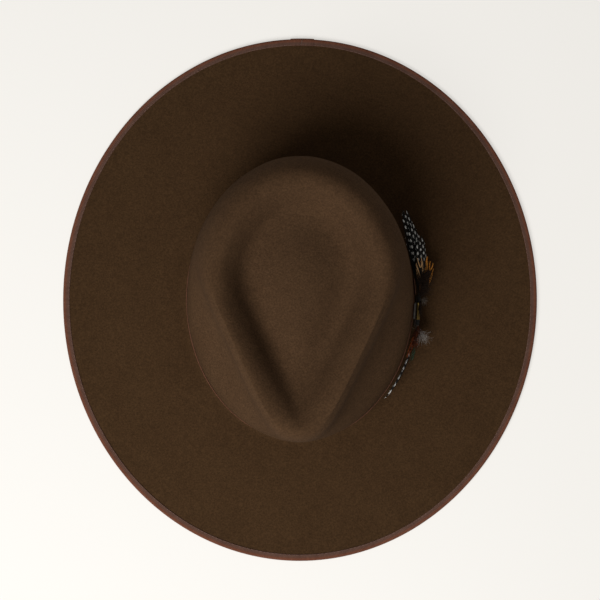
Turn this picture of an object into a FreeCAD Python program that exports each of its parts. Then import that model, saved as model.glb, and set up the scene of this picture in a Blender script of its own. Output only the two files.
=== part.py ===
"""A wide-brimmed felt fedora with a teardrop crown and a clip-on feather ornament.

Millimetres. +Z is up and the hat stands on the flat underside of its brim binding, so the
origin is the middle of the oval that it stands on. -Y is the front of the hat, +Y the back
and +X the wearer's left, where the feathers are.
"""
import math
import os

import FreeCAD
import Part
import Sketcher

Vector = FreeCAD.Vector
UP = Vector(0, 0, 1)
doc = FreeCAD.newDocument("fedora_hat")

# ---------------------------------------------------------------- driving dimensions
SIZES = {
    # the one-piece felt body
    "brim_length": 402.0,
    "brim_width": 365.0,
    "brim_rise": 4.4,
    "felt_thickness": 2.5,
    "head_length": 210.8,
    "head_width": 171.4,
    "break_radius": 5.0,
    "crown_centre_height": 95.4,
    # the ribbon folded over the brim edge
    "binding_thickness": 0.55,
    "binding_width": 5.6,
    "binding_clearance": 0.05,
    "stitch_radius": 0.2,
    # the ribbon round the crown
    "band_width": 173.2,
    "band_length": 212.6,
    "band_thickness": 0.6,
    "band_bottom": 10.2,
    "band_height": 27.8,
    "keeper_width": 12.0,
    "keeper_from": 5.0,
    "keeper_clearance": 0.1,
    "keeper_overhang": 0.2,
    # the leather sweatband and what is sewn to it
    "sweat_width": 165.4,
    "sweat_length": 204.6,
    "sweat_lean": 4.1,
    "sweat_thickness": 1.2,
    "sweat_bottom": 7.0,
    "sweat_height": 37.0,
    "reed_radius": 0.8,
    "welt_radius": 1.25,
    "welt_bore": 0.9,
    "welt_offset": 0.9,
    "welt_level": 6.2,
    "tape_width": 14.0,
    "tape_thickness": 0.4,
    "tape_rise": 3.0,
    "tape_clearance": 0.1,
    "stitch_clearance": 0.3,
    "stitch_rise": 2.0,
    "bow_thickness": 1.4,
    # the lining
    "lining_gap": 0.6,
    "lining_thickness": 0.45,
    "lining_tip_level": 74.6,
    "lining_tip_dome": 4.0,
    "lining_tip_gap": 0.3,
    # the feather ornament
    "ornament_out": 89.95,
    "ornament_along": -7.6,
    "ornament_level": 25.0,
    "ferrule_radius": 1.7,
    "ferrule_bore": 1.35,
    "ferrule_length": 13.0,
    "wrap_radius": 1.72,
    "wrap_length": 4.0,
    "pad_thickness": 0.7,
    "pad_length": 24.0,
    "pad_height": 18.0,
    "clip_thickness": 0.3,
    "clip_width": 12.0,
    "quill_radius": 0.35,
    "vane_thickness": 0.5,
    "guinea_width": 13.0,
    "pheasant_width": 10.0,
    "hackle_width": 7.0,
    "front_width": 8.0,
}
sheet = doc.addObject("Spreadsheet::Sheet", "sizes")
for row, (alias, value) in enumerate(SIZES.items(), start=1):
    sheet.set("A%d" % row, alias)
    sheet.set("B%d" % row, str(value))
    sheet.setAlias("B%d" % row, alias)
doc.recompute()


def size(alias):
    """A driving dimension, read from the sheet."""
    return float(sheet.get(alias))


SUB_PARTS = []


def sub_part(feature, label):
    """Count a finished object as one of the hat's pieces, under the name of its file."""
    feature.Label = label
    SUB_PARTS.append(feature)
    return feature


# ---------------------------------------------------------------- shapes for the felt body
AROUND = 96                           # points round each ring
PINCH_ANGLE = math.radians(25.1)      # how far each front pinch turns towards the front
FLAT_RIM = 0.07                       # share of the brim that lies flat under the binding

# Where the brim's rings lie, from the edge (0) to the foot of the crown (1).
BRIM_STATIONS = (0, 0.035, FLAT_RIM, 0.12, 0.2, 0.3, 0.42, 0.54, 0.66, 0.78, 0.88, 0.95, 1)
BREAK_TURNS = (30, 60)                # degrees round the fillet between brim and crown

# One row per ring of the crown, from the foot of the wall, over the crest and down into
# the dent: level, half width, half length at the back, half length at the front, distance
# of the two pinches from the centre (0 for none), how much the ring dips towards the back,
# how much it rises towards the front, and how sharp its pinched corners are.
CROWN_RINGS = (
    (12.5, 85.7, 105.4, 105.4, 0, 0, 0, 12),
    (25.0, 85.7, 105.6, 105.5, 140, 0, 0, 12),
    (38.0, 85.65, 106.0, 105.8, 113, 0, 0, 12),
    (50.0, 85.6, 106.6, 106.0, 92.5, 0, 0, 12),
    (62.0, 85.3, 107.2, 106.1, 77.5, 0, 0, 12),
    (74.0, 84.5, 107.0, 105.7, 67.5, 0.5, 0, 12),
    (85.0, 82.4, 105.2, 105.2, 63.5, 1.5, 0, 12),
    (94.5, 79.0, 102.0, 104.2, 62.6, 2.5, 0, 12),
    (102.0, 74.2, 97.6, 102.0, 61.3, 3.5, 0, 12),
    (106.2, 68.6, 92.0, 98.8, 57.8, 4.0, 0, 12),
    (106.6, 62.4, 85.6, 95.2, 53.6, 4.2, 1, 12),
    (103.0, 56.6, 79.4, 92.6, 47.6, 4.0, 5, 11),
    (97.0, 51.2, 73.8, 91.0, 42.0, 3.2, 11, 10),
    (91.0, 46.0, 68.4, 90.0, 37.6, 2.4, 16, 8),
    (88.2, 39.5, 61.0, 88.0, 33.2, 1.6, 18, 6),
    (88.8, 31.5, 50.5, 80.0, 28.6, 1.0, 17, 4),
    (92.0, 21.5, 36.5, 56.0, 22.0, 0.5, 15, 3),
    (94.6, 10.5, 18.5, 27.0, 12.0, 0.2, 14, 3),
)


def smooth_step(share):
    """0 to 1 with level ends."""
    share = min(max(share, 0.0), 1.0)
    return share * share * (3 - 2 * share)


def ring(level, half_width, back, front, pinch=0, dip=0, rise=0, sharpness=12):
    """Points of one closed ring: an oval, flattened by the two front pinches."""
    points = []
    for step in range(AROUND):
        angle = math.pi / 2 + 2 * math.pi * step / AROUND
        half_length = back if math.sin(angle) > 0 else front
        reach = math.hypot(math.cos(angle) / half_width, math.sin(angle) / half_length) ** -1
        if pinch:
            left = max(math.cos(angle + PINCH_ANGLE), 0)
            right = max(math.cos(math.pi - angle + PINCH_ANGLE), 0)
            walls = [1 / reach, left / pinch, right / pinch]
            reach = sum(wall ** sharpness for wall in walls) ** (-1 / sharpness)
        along = reach * math.sin(angle)
        height = level - dip * along / 100 + rise * max(-along, 0) ** 2 / 1e4
        points.append(Vector(reach * math.cos(angle), along, height))
    return points


def felt_rings():
    """The upper side of the felt, ring by ring, from the brim edge to the crown's dent."""
    under = size("binding_thickness") + size("binding_clearance")
    edge_level = under + size("felt_thickness")
    foot_level = edge_level + size("brim_rise")
    radius = size("break_radius")
    edge = (size("brim_width") / 2 - under, size("brim_length") / 2 - under)
    foot = (size("head_width") / 2 + radius, size("head_length") / 2 + radius)
    rings = []
    for share in BRIM_STATIONS:
        half_width = edge[0] + (foot[0] - edge[0]) * share
        half_length = edge[1] + (foot[1] - edge[1]) * share
        lift = smooth_step((share - FLAT_RIM) / (1 - FLAT_RIM))
        level = edge_level + size("brim_rise") * lift
        rings.append(ring(level, half_width, half_length, half_length))
    for turn in BREAK_TURNS:
        inward = radius * math.sin(math.radians(turn))
        level = foot_level + radius * (1 - math.cos(math.radians(turn)))
        rings.append(ring(level, foot[0] - inward, foot[1] - inward, foot[1] - inward))
    for station in CROWN_RINGS:
        rings.append(ring(*station))
    return rings


class Skin:
    """A smooth surface through closed rings, ending in a point where a centre is given."""

    def __init__(self, rings, centre=None):
        self.rings = rings
        self.turns = [step / AROUND for step in range(AROUND + 1)]
        curves = [self.closed_curve(points) for points in rings]
        nets = [curve.getPoles() for curve in curves]
        rows = list(rings)
        if centre:
            nets.append([centre] * len(nets[0]))
            rows.append([centre] * AROUND)
        self.rows = [0.0]
        for lower, upper in zip(rows, rows[1:]):
            gap = sum((a - b).Length for a, b in zip(lower, upper)) / AROUND
            self.rows.append(self.rows[-1] + gap)
        columns = []
        for number in range(len(nets[0])):
            column = Part.BSplineCurve()
            column.interpolate(Points=[net[number] for net in nets], Parameters=self.rows)
            columns.append(column)
        self.surface = Part.BSplineSurface()
        self.surface.buildFromPolesMultsKnots(
            [column.getPoles() for column in columns],
            curves[0].getMultiplicities(), columns[0].getMultiplicities(),
            curves[0].getKnots(), columns[0].getKnots(), True, False, 3, 3)
        rim_normal = self.surface.normal(0, self.rows[1])
        self.inward = -1 if rim_normal.z > 0 else 1

    def closed_curve(self, points):
        curve = Part.BSplineCurve()
        curve.interpolate(Points=points, PeriodicFlag=True, Parameters=self.turns)
        return curve

    def offset(self, distance, first=0, last=None):
        """The rings moved square to the surface, towards the inside of the hat."""
        moved = []
        for number, points in list(enumerate(self.rings))[first:last]:
            row = self.rows[number]
            square = [self.surface.normal(turn, row) for turn in self.turns[:AROUND]]
            reach = self.inward * distance
            moved.append([point + normal * reach for point, normal in zip(points, square)])
        return moved

    def face(self):
        return self.surface.toShape()


def closed_edges(face):
    """A face's closed border edges, the lowest first."""
    edges = [edge for edge in face.Edges if not edge.Degenerated and edge.isClosed()]
    return sorted(edges, key=lambda edge: edge.BoundBox.ZMin)


def solid_between(outer, inner):
    """The closed solid between two faces whose borders are joined by ruled strips."""
    faces = [outer, inner]
    for outer_edge, inner_edge in zip(closed_edges(outer), closed_edges(inner)):
        faces.append(Part.makeRuledSurface(outer_edge, inner_edge))
    shell = Part.makeShell(faces)
    shell.sewShape()
    solid = Part.makeSolid(shell)
    if solid.Volume < 0:
        solid.reverse()
    return solid


def shape_feature(label, shape):
    feature = doc.addObject("Part::Feature", label)
    feature.Shape = shape
    return sub_part(feature, label)


# ---------------------------------------------------------------- ovals, rings and tubes
def oval(name, half_width, half_length, level):
    """A flat ellipse, longer along Y, whose sizes are expressions on the sheet."""
    curve = doc.addObject("Part::Ellipse", name)
    curve.setExpression("MajorRadius", half_length)
    curve.setExpression("MinorRadius", half_width)
    curve.Placement = FreeCAD.Placement(Vector(), FreeCAD.Rotation(UP, 90))
    curve.setExpression("Placement.Base.z", level)
    return curve


def oval_block(name, bottom, top):
    """A solid with straight sides between two ovals."""
    block = doc.addObject("Part::Loft", name)
    block.Sections = [bottom, top]
    block.Solid = True
    block.Ruled = True
    return block


def oval_wall(name, width, length, lean, wall, bottom, height):
    """A ring of even wall, its outside given at the bottom and leaning in by its top."""
    blocks = []
    for side, inset in (("outside", "0"), ("inside", wall)):
        half_width = "(%s) / 2 - (%s)" % (width, inset)
        half_length = "(%s) / 2 - (%s)" % (length, inset)
        feet = oval(name + "_foot_" + side, half_width, half_length, bottom)
        leaning = " - (%s)" % lean
        head = oval(name + "_head_" + side, half_width + leaning, half_length + leaning,
                    "%s + %s" % (bottom, height))
        blocks.append(oval_block(name + "_" + side, feet, head))
    wall_ring = doc.addObject("Part::Cut", name)
    wall_ring.Base = blocks[0]
    wall_ring.Tool = blocks[1]
    return wall_ring


def cut_out(name, ring_feature, width, on_the_left, along):
    """The stretch of a ring inside a box: along Y on the left, or along X at the back."""
    box = doc.addObject("Part::Box", name + "_stretch")
    box.setExpression("Height", "sizes.brim_width")
    if on_the_left:
        box.setExpression("Width", width)
        box.setExpression("Length", "sizes.band_width")
        box.setExpression("Placement.Base.y", along)
    else:
        box.setExpression("Length", width)
        box.setExpression("Width", "sizes.band_length")
        box.setExpression("Placement.Base.x", "-(%s) / 2" % width)
    stretch = doc.addObject("Part::Common", name)
    stretch.Base = ring_feature
    stretch.Tool = box
    return stretch


def oval_tube(name, half_width, half_length, level, radius, sides=0):
    """A cord laid along an oval: round, or with a number of flat sides."""
    path = oval(name + "_path", half_width, half_length, level)
    if sides:
        section = doc.addObject("Part::RegularPolygon", name + "_section")
        section.Polygon = sides
        section.setExpression("Circumradius", radius)
    else:
        section = doc.addObject("Part::Circle", name + "_section")
        section.setExpression("Radius", radius)
    section.Placement = FreeCAD.Placement(Vector(), FreeCAD.Rotation(Vector(1, 0, 0), 90))
    section.setExpression("Placement.Base.x", half_width)
    section.setExpression("Placement.Base.z", level)
    tube = doc.addObject("Part::Sweep", name)
    tube.Sections = [section]
    tube.Spine = (path, ["Edge1"])
    tube.Solid = True
    tube.Frenet = True
    return tube


# ---------------------------------------------------------------- PartDesign helpers
def new_body(label, placement=None):
    body = doc.addObject("PartDesign::Body", label)
    if placement:
        body.Placement = placement
    return sub_part(body, label)


def new_sketch(body, name, role):
    sketch = body.newObject("Sketcher::SketchObject", name)
    planes = {feature.Role: feature for feature in body.Origin.OriginFeatures}
    sketch.AttachmentSupport = (planes[role], [""])
    sketch.MapMode = "FlatFace"
    return sketch


def add_circle(sketch, radius):
    """A circle about the sketch's origin, its radius bound to an expression."""
    line = sketch.addGeometry(Part.Circle(Vector(), UP, 1.0))
    sketch.addConstraint(Sketcher.Constraint("Coincident", line, 3, -1, 1))
    rule = sketch.addConstraint(Sketcher.Constraint("Radius", line, 1.0))
    sketch.setExpression("Constraints[%d]" % rule, radius)


def add_rectangle(sketch, width, height):
    """A rectangle about the sketch's origin, its sides bound to expressions."""
    corners = [Vector(-2, -1), Vector(2, -1), Vector(2, 1), Vector(-2, 1)]
    for number in range(4):
        sketch.addGeometry(Part.LineSegment(corners[number], corners[(number + 1) % 4]))
    for number in range(4):
        ends = ("Coincident", number, 2, (number + 1) % 4, 1)
        sketch.addConstraint(Sketcher.Constraint(*ends))
        level = "Horizontal" if number % 2 == 0 else "Vertical"
        sketch.addConstraint(Sketcher.Constraint(level, number))
    sketch.addConstraint(Sketcher.Constraint("Symmetric", 0, 1, 1, 2, -1, 1))
    across = sketch.addConstraint(Sketcher.Constraint("DistanceX", 0, 1, 0, 2, 4.0))
    upright = sketch.addConstraint(Sketcher.Constraint("DistanceY", 1, 1, 1, 2, 2.0))
    sketch.setExpression("Constraints[%d]" % across, width)
    sketch.setExpression("Constraints[%d]" % upright, height)


def add_pad(body, sketch, length):
    """Pad a sketch by the same amount to both of its sides."""
    pad = body.newObject("PartDesign::Pad", body.Label + "_pad")
    pad.Profile = sketch
    pad.Midplane = True
    pad.setExpression("Length", length)
    sketch.Visibility = False
    doc.recompute()
    return pad


def round_edges(body, base, edges, radius):
    fillet = body.newObject("PartDesign::Fillet", body.Label + "_rounding")
    fillet.Base = (base, edges)
    fillet.Radius = radius
    doc.recompute()
    return fillet


def edges_where(shape, test):
    return ["Edge%d" % n for n, edge in enumerate(shape.Edges, start=1) if test(edge)]


# ---------------------------------------------------------------- felt body and binding
def make_felt_body():
    """Crown and brim, blocked from one cone of felt of even thickness."""
    felt = size("felt_thickness")
    centre = Vector(0, 0, size("crown_centre_height"))
    upper = Skin(felt_rings(), centre)
    lower = Skin(upper.offset(felt), centre - UP * felt)
    shape_feature("felt_body", solid_between(upper.face(), lower.face()))
    return upper


THREAD_SIDES = 8                      # of the plain rings that stand for rows of stitches
BINDING_TOP = "2 * (sizes.binding_thickness + sizes.binding_clearance) + sizes.felt_thickness"


def make_binding():
    """A ribbon folded over the brim edge: a ring with a slot that the felt lies in."""
    whole = oval_wall("binding_fold", "sizes.brim_width", "sizes.brim_length", "0",
                      "sizes.binding_width", "0", BINDING_TOP)
    slot = oval_wall("binding_slot", "sizes.brim_width - 2 * sizes.binding_thickness",
                     "sizes.brim_length - 2 * sizes.binding_thickness", "0",
                     "sizes.binding_width + 1", "sizes.binding_thickness",
                     "sizes.felt_thickness + 2 * sizes.binding_clearance")
    folded = doc.addObject("Part::Cut", "binding_folded")
    folded.Base = whole
    folded.Tool = slot
    doc.recompute()
    rounded = doc.addObject("Part::Fillet", "brim_binding")
    rounded.Base = folded
    corner = 0.4
    edges = []
    for number, edge in enumerate(folded.Shape.Edges, start=1):
        level = edge.BoundBox.ZMin
        outermost = edge.BoundBox.XLength > size("brim_width") - 0.1
        at_fold = level < 0.01 or level > folded.Shape.BoundBox.ZMax - 0.01
        if outermost and at_fold and edge.BoundBox.ZLength < 0.01:
            edges.append((number, corner, corner))
    rounded.Edges = edges
    sub_part(rounded, "brim_binding")
    thread = oval_tube("binding_stitching", "sizes.brim_width / 2 - sizes.binding_width + 1",
                       "sizes.brim_length / 2 - sizes.binding_width + 1",
                       BINDING_TOP + " + sizes.stitch_radius + 0.02", "sizes.stitch_radius",
                       THREAD_SIDES)
    sub_part(thread, "binding_stitching")


# ---------------------------------------------------------------- ribbon round the crown
def make_band():
    """The crown ribbon and the folded keeper that hides where its ends meet."""
    outside = " + 2 * sizes.band_thickness"
    band = oval_wall("hatband", "sizes.band_width" + outside, "sizes.band_length" + outside,
                     "0", "sizes.band_thickness", "sizes.band_bottom", "sizes.band_height")
    sub_part(band, "hatband")
    outside = " + 4 * sizes.band_thickness + 2 * sizes.keeper_clearance"
    ring_feature = oval_wall("keeper_ring", "sizes.band_width" + outside,
                             "sizes.band_length" + outside, "0", "sizes.band_thickness",
                             "sizes.band_bottom", "sizes.band_height + sizes.keeper_overhang")
    keeper = cut_out("band_keeper", ring_feature, "sizes.keeper_width", True,
                     "sizes.keeper_from")
    sub_part(keeper, "band_keeper")


# ---------------------------------------------------------------- sweatband and lining
def make_sweatband():
    """The leather band that touches the head, with its welt, reed, seam tape and bow."""
    band = oval_wall("sweatband", "sizes.sweat_width", "sizes.sweat_length",
                     "sizes.sweat_lean", "sizes.sweat_thickness", "sizes.sweat_bottom",
                     "sizes.sweat_height")
    sub_part(band, "sweatband")
    slope = "sizes.sweat_lean / sizes.sweat_height"
    inner_gap = (" - 2 * (sizes.sweat_thickness + sizes.tape_clearance + sizes.tape_rise * %s)"
                 % slope)
    tape_height = "sizes.sweat_height - sizes.tape_rise"
    ring_feature = oval_wall("tape_ring", "sizes.sweat_width" + inner_gap,
                             "sizes.sweat_length" + inner_gap,
                             "(%s) * %s" % (tape_height, slope), "sizes.tape_thickness",
                             "sizes.sweat_bottom + sizes.tape_rise", tape_height)
    tape = cut_out("sweatband_seam_tape", ring_feature, "sizes.tape_width", False, "0")
    sub_part(tape, "sweatband_seam_tape")
    felt_inside = ("sizes.head_width / 2 - sizes.felt_thickness + sizes.welt_offset",
                   "sizes.head_length / 2 - sizes.felt_thickness + sizes.welt_offset")
    casing = oval_tube("welt_casing", *felt_inside, "sizes.welt_level", "sizes.welt_radius")
    bore = oval_tube("welt_bore", *felt_inside, "sizes.welt_level", "sizes.welt_bore")
    welt = doc.addObject("Part::Cut", "sweatband_welt")
    welt.Base = casing
    welt.Tool = bore
    sub_part(welt, "sweatband_welt")
    reed = oval_tube("sweatband_reed", *felt_inside, "sizes.welt_level", "sizes.reed_radius")
    sub_part(reed, "sweatband_reed")
    stitch_inset = " / 2 - sizes.sweat_thickness - sizes.stitch_radius - sizes.stitch_clearance"
    thread = oval_tube("sweatband_stitching", "sizes.sweat_width" + stitch_inset,
                       "sizes.sweat_length" + stitch_inset,
                       "sizes.sweat_bottom + sizes.stitch_rise", "sizes.stitch_radius",
                       THREAD_SIDES)
    sub_part(thread, "sweatband_stitching")


# The right half of the bow's outline about its knot: a loop, then a tail.
BOW_OUTLINE = ((0, 1.6), (1.6, 2.0), (9.5, 4.2), (12.5, 2.2), (12.3, -1.6), (8.8, -3.0),
               (1.8, -1.6), (5.2, -5.4), (2.6, -6.0), (0, -2.2))
BOW_LEVEL = 17.0
BOW_STAND_OFF = 1.8                   # at its knot; its ends then just clear the curved band


def make_sweatband_bow():
    """A small flat ribbon bow on the inside of the sweatband's back seam."""
    slope = size("sweat_lean") / size("sweat_height")
    inside = size("sweat_length") / 2 - size("sweat_thickness") - size("tape_thickness")
    leaning_in = (BOW_LEVEL - size("sweat_bottom")) * slope
    back = inside - leaning_in - size("bow_thickness") / 2 - BOW_STAND_OFF
    lean_turn = FreeCAD.Rotation(Vector(1, 0, 0), math.degrees(math.atan(slope)))
    bow = new_body("sweatband_bow", FreeCAD.Placement(Vector(0, back, BOW_LEVEL), lean_turn))
    outline = new_sketch(bow, "bow_outline", "XZ_Plane")
    right = [Vector(x, y) for x, y in BOW_OUTLINE]
    left = [Vector(-x, y) for x, y in reversed(BOW_OUTLINE[1:-1])]
    corners = right + left
    for start, end in zip(corners, corners[1:] + corners[:1]):
        outline.addGeometry(Part.LineSegment(start, end))
    add_pad(bow, outline, "sizes.bow_thickness")


LINING_FROM = len(BRIM_STATIONS) + len(BREAK_TURNS) + 1     # the ring above the wall's foot
LINING_TO = LINING_FROM + 5                                 # past the ring under the crest
TIP_STATIONS = (1, 0.8, 0.55, 0.3, 0.12)


def make_lining(felt_skin):
    """The satin lining: a side wall inside the crown, closed by a slightly domed tip."""
    outside = size("felt_thickness") + size("lining_gap")
    inside = outside + size("lining_thickness")
    outer = Skin(felt_skin.offset(outside, LINING_FROM, LINING_TO))
    inner = Skin(felt_skin.offset(inside, LINING_FROM, LINING_TO))
    shape_feature("lining_side", solid_between(outer.face(), inner.face()))

    border = felt_skin.offset(inside + size("lining_tip_gap"), LINING_TO - 1, LINING_TO)[0]
    faces = []
    for level in (size("lining_tip_level"), size("lining_tip_level") - size("lining_thickness")):
        rings = []
        for share in TIP_STATIONS:
            height = level + size("lining_tip_dome") * (1 - share * share)
            rings.append([Vector(p.x * share, p.y * share, height) for p in border])
        centre = Vector(0, 0, level + size("lining_tip_dome"))
        faces.append(Skin(rings, centre).face())
    shape_feature("lining_tip", solid_between(*faces))


# ---------------------------------------------------------------- the feather ornament
# The ornament has its own axes: x out from the crown, y towards the back, z up. Its
# feathers come out of both ends of a ferrule that lies along y.
BAND_HALF_WIDTH = size("band_width") / 2 + size("band_thickness")
BAND_HALF_LENGTH = size("band_length") / 2 + size("band_thickness")
FACING = math.atan2(size("ornament_along") / BAND_HALF_LENGTH ** 2,
                    size("ornament_out") / BAND_HALF_WIDTH ** 2)
ORNAMENT = FreeCAD.Placement(
    Vector(size("ornament_out"), size("ornament_along"), size("ornament_level")),
    FreeCAD.Rotation(UP, math.degrees(FACING)))

QUILL_PITCH = 0.9
HALF_ROW = QUILL_PITCH * math.sqrt(3) / 2
# Seven places in the ferrule's bore, a middle one and six round it, in order outwards:
# each as its layer and how far across it lies.
QUILL_PLACES = (
    (-QUILL_PITCH, 0),
    (-QUILL_PITCH / 2, HALF_ROW),
    (-QUILL_PITCH / 2, -HALF_ROW),
    (0, 0),
    (QUILL_PITCH / 2, HALF_ROW),
    (QUILL_PITCH / 2, -HALF_ROW),
    (QUILL_PITCH, 0),
)
QUILL_START = 0.8
STRAIGHT_END = 11.0                   # the quills run straight this far from the middle
FAN_END = 20.0                        # and have spread into their layers by here
VANE_START = 16.0
LAYER_PITCH = 0.9                     # between neighbouring layers where the fan opens
LAYER_SPREAD = 0.6 / 56               # how much that pitch grows with each mm of reach
BACK_CURL = 9.0 / 65 ** 2.1           # how the back feathers bend in round the crown
BAND_STAND_OFF = 2.6                  # of the front feathers' inmost layer from the band
# A vane's outline: share of its length, share of its full width.
VANE_STATIONS = ((0, 0.12), (0.14, 0.55), (0.36, 0.9), (0.62, 1), (0.84, 0.78),
                 (0.95, 0.45), (1, 0.12))

# Feathers by name: which end of the ferrule (1 back, -1 front), place in the bore, how far
# the tip reaches, how far across it ends, and the size that sets the vane's width.
FEATHERS = {
    "guinea_feather_long": (1, 0, 76.0, 14.0, "sizes.guinea_width"),
    "guinea_feather_middle": (1, 1, 67.0, 10.0, "sizes.guinea_width"),
    "pheasant_feather_lower": (1, 2, 47.0, -4.0, "sizes.pheasant_width"),
    "guinea_feather_short": (1, 3, 58.0, 4.0, "sizes.guinea_width"),
    "pheasant_feather_upper": (1, 4, 42.0, 6.0, "sizes.pheasant_width"),
    "pheasant_feather_outer": (1, 5, 38.0, -8.0, "sizes.pheasant_width"),
    "dark_hackle_back": (1, 6, 29.0, -3.0, "sizes.hackle_width"),
    "guinea_feather_front": (-1, 0, 68.0, 0.0, "sizes.front_width"),
    "rust_hackle_long": (-1, 1, 36.0, 5.0, "sizes.hackle_width"),
    "rust_hackle_short": (-1, 2, 30.0, -3.0, "sizes.hackle_width"),
    "green_feather": (-1, 3, 40.0, -1.0, "sizes.hackle_width"),
}
ROLL = {1: math.radians(42), -1: math.radians(24)}   # how far the lower edges stand out


def band_face(along):
    """Where the band's outer face lies, at a distance along the ornament's own y."""
    start = ORNAMENT.multVec(Vector(0, along, 0))
    out = ORNAMENT.Rotation.multVec(Vector(1, 0, 0))
    a = (out.x / BAND_HALF_WIDTH) ** 2 + (out.y / BAND_HALF_LENGTH) ** 2
    b = start.x * out.x / BAND_HALF_WIDTH ** 2 + start.y * out.y / BAND_HALF_LENGTH ** 2
    c = (start.x / BAND_HALF_WIDTH) ** 2 + (start.y / BAND_HALF_LENGTH) ** 2 - 1
    return (-b + math.sqrt(b * b - a * c)) / a


def layer_at(end, place, reach):
    """The layer that a fanned-out feather keeps to, so that feathers never cross, and how
    far the whole fan has followed the crown inwards."""
    if end > 0:
        curl = BACK_CURL * max(reach - STRAIGHT_END, 0) ** 2.1
        return place * (LAYER_PITCH + LAYER_SPREAD * (reach - FAN_END)) - curl, 0.0
    return LAYER_PITCH * place, band_face(-reach) + BAND_STAND_OFF


def spine_point(end, place, reach, tip_reach, tip_across):
    """A point of a feather's shaft, in the ornament's axes."""
    quill_layer, quill_across = QUILL_PLACES[place]
    fanned = smooth_step((reach - STRAIGHT_END) / (FAN_END - STRAIGHT_END))
    layer, inward = quill_layer, 0.0
    if fanned:
        fan_layer, fan_inward = layer_at(end, place, reach)
        layer += (fan_layer - quill_layer) * fanned
        inward = fan_inward * fanned
    spread = max(reach - STRAIGHT_END, 0) / (tip_reach - STRAIGHT_END)
    across = quill_across + (tip_across - quill_across) * spread ** 1.3
    roll = ROLL[end]
    return Vector(inward + layer * math.cos(roll) - across * math.sin(roll), end * reach,
                  layer * math.sin(roll) + across * math.cos(roll))


def add_section(name, point, tangent, across, major, minor):
    """One elliptical cross-section of a feather, placed square to its shaft."""
    section = doc.addObject("Part::Ellipse", name)
    section.setExpression("MajorRadius", major)
    section.setExpression("MinorRadius", minor)
    thick = tangent.cross(across)
    local = FreeCAD.Placement(point, FreeCAD.Rotation(across, thick, tangent, "ZXY"))
    section.Placement = ORNAMENT.multiply(local)
    return section


def loft_sections(label, sections):
    feather = doc.addObject("Part::Loft", label)
    feather.Sections = sections
    feather.Solid = True
    feather.Ruled = True
    sub_part(feather, label)


def make_feather(label, end, place, tip_reach, tip_across, width):
    """A quill that widens into a thin vane, lofted along its shaft."""
    stations = [(reach, 0) for reach in (QUILL_START, 6.0, STRAIGHT_END, 13.5)]
    length = tip_reach - VANE_START
    stations += [(VANE_START + length * share, broad) for share, broad in VANE_STATIONS]
    up_the_vane = Vector(-math.sin(ROLL[end]), 0, math.cos(ROLL[end]))
    sections = []
    for number, (reach, broad) in enumerate(stations):
        point = spine_point(end, place, reach, tip_reach, tip_across)
        step = 0.1
        ahead = spine_point(end, place, reach + step, tip_reach, tip_across)
        behind = spine_point(end, place, reach - step, tip_reach, tip_across)
        tangent = (ahead - behind).normalize()
        across = (up_the_vane - tangent * up_the_vane.dot(tangent)).normalize()
        major = "sizes.quill_radius"
        minor = "sizes.quill_radius"
        if broad:
            major = "%s / 2 * %s" % (width, broad)
            minor = "sizes.vane_thickness / 2"
        name = "%s_section_%02d" % (label, number)
        sections.append(add_section(name, point, tangent, across, major, minor))
    loft_sections(label, sections)


# The white plume's shaft and half thickness, from the ferrule's front end outwards.
WHITE_PLUME = (
    (Vector(0.9, -0.8, 0), 0.35),
    (Vector(0.9, -6, 0), 0.35),
    (Vector(0.9, -12, 0), 0.35),
    (Vector(2.2, -15, -0.5), 0.9),
    (Vector(4.4, -19, -1), 2.8),
    (Vector(5.6, -24, -1.5), 3.4),
    (Vector(6.2, -28, -2), 2.0),
    (Vector(6.4, -30, -2.2), 0.6),
)
GREY_PLUME_CENTRE = Vector(5.9, 7.0, 0.5)
GREY_PLUME_RADII = (4.6, 3.4, 4.2)    # up, along the ferrule and outwards


def make_plumes():
    """The two tufts of down: a white one in front and a grey one over the back lashing."""
    sections = []
    for number, (point, radius) in enumerate(WHITE_PLUME):
        before = WHITE_PLUME[max(number - 1, 0)][0]
        after = WHITE_PLUME[min(number + 1, len(WHITE_PLUME) - 1)][0]
        tangent = (after - before).normalize()
        across = (UP - tangent * UP.dot(tangent)).normalize()
        name = "white_plume_section_%02d" % number
        measure = "%s mm" % radius
        sections.append(add_section(name, point, tangent, across, measure, measure))
    loft_sections("white_plume", sections)

    tuft = doc.addObject("Part::Ellipsoid", "grey_tuft")
    tuft.Radius1, tuft.Radius2, tuft.Radius3 = GREY_PLUME_RADII
    tuft.Placement = ORNAMENT.multiply(FreeCAD.Placement(GREY_PLUME_CENTRE, FreeCAD.Rotation()))
    stem = doc.addObject("Part::Cylinder", "grey_stem")
    stem.Radius = 0.4
    stem.Height = 2.0
    stem_foot = Vector(size("wrap_radius") + 0.1, GREY_PLUME_CENTRE.y + 1.5, 0)
    outward = FreeCAD.Rotation(Vector(0, 1, 0), 90)
    stem.Placement = ORNAMENT.multiply(FreeCAD.Placement(stem_foot, outward))
    plume = doc.addObject("Part::Fuse", "grey_plume")
    plume.Base = tuft
    plume.Tool = stem
    sub_part(plume, "grey_plume")


def ornament_place(x=0.0, y=0.0, z=0.0):
    return ORNAMENT.multiply(FreeCAD.Placement(Vector(x, y, z), FreeCAD.Rotation()))


def make_tube(label, outer, bore, length, along, rounding):
    """A short sleeve round the quills, with softened rims."""
    body = new_body(label, ornament_place(y=along))
    outline = new_sketch(body, label + "_rings", "XZ_Plane")
    add_circle(outline, outer)
    add_circle(outline, bore)
    pad = add_pad(body, outline, length)
    reach = pad.Shape.BoundBox.XMax
    rims = edges_where(pad.Shape, lambda edge: abs(edge.BoundBox.XMax - reach) < 0.01
                       and edge.BoundBox.YLength < 0.01)
    round_edges(body, pad, rims, rounding)


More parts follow.
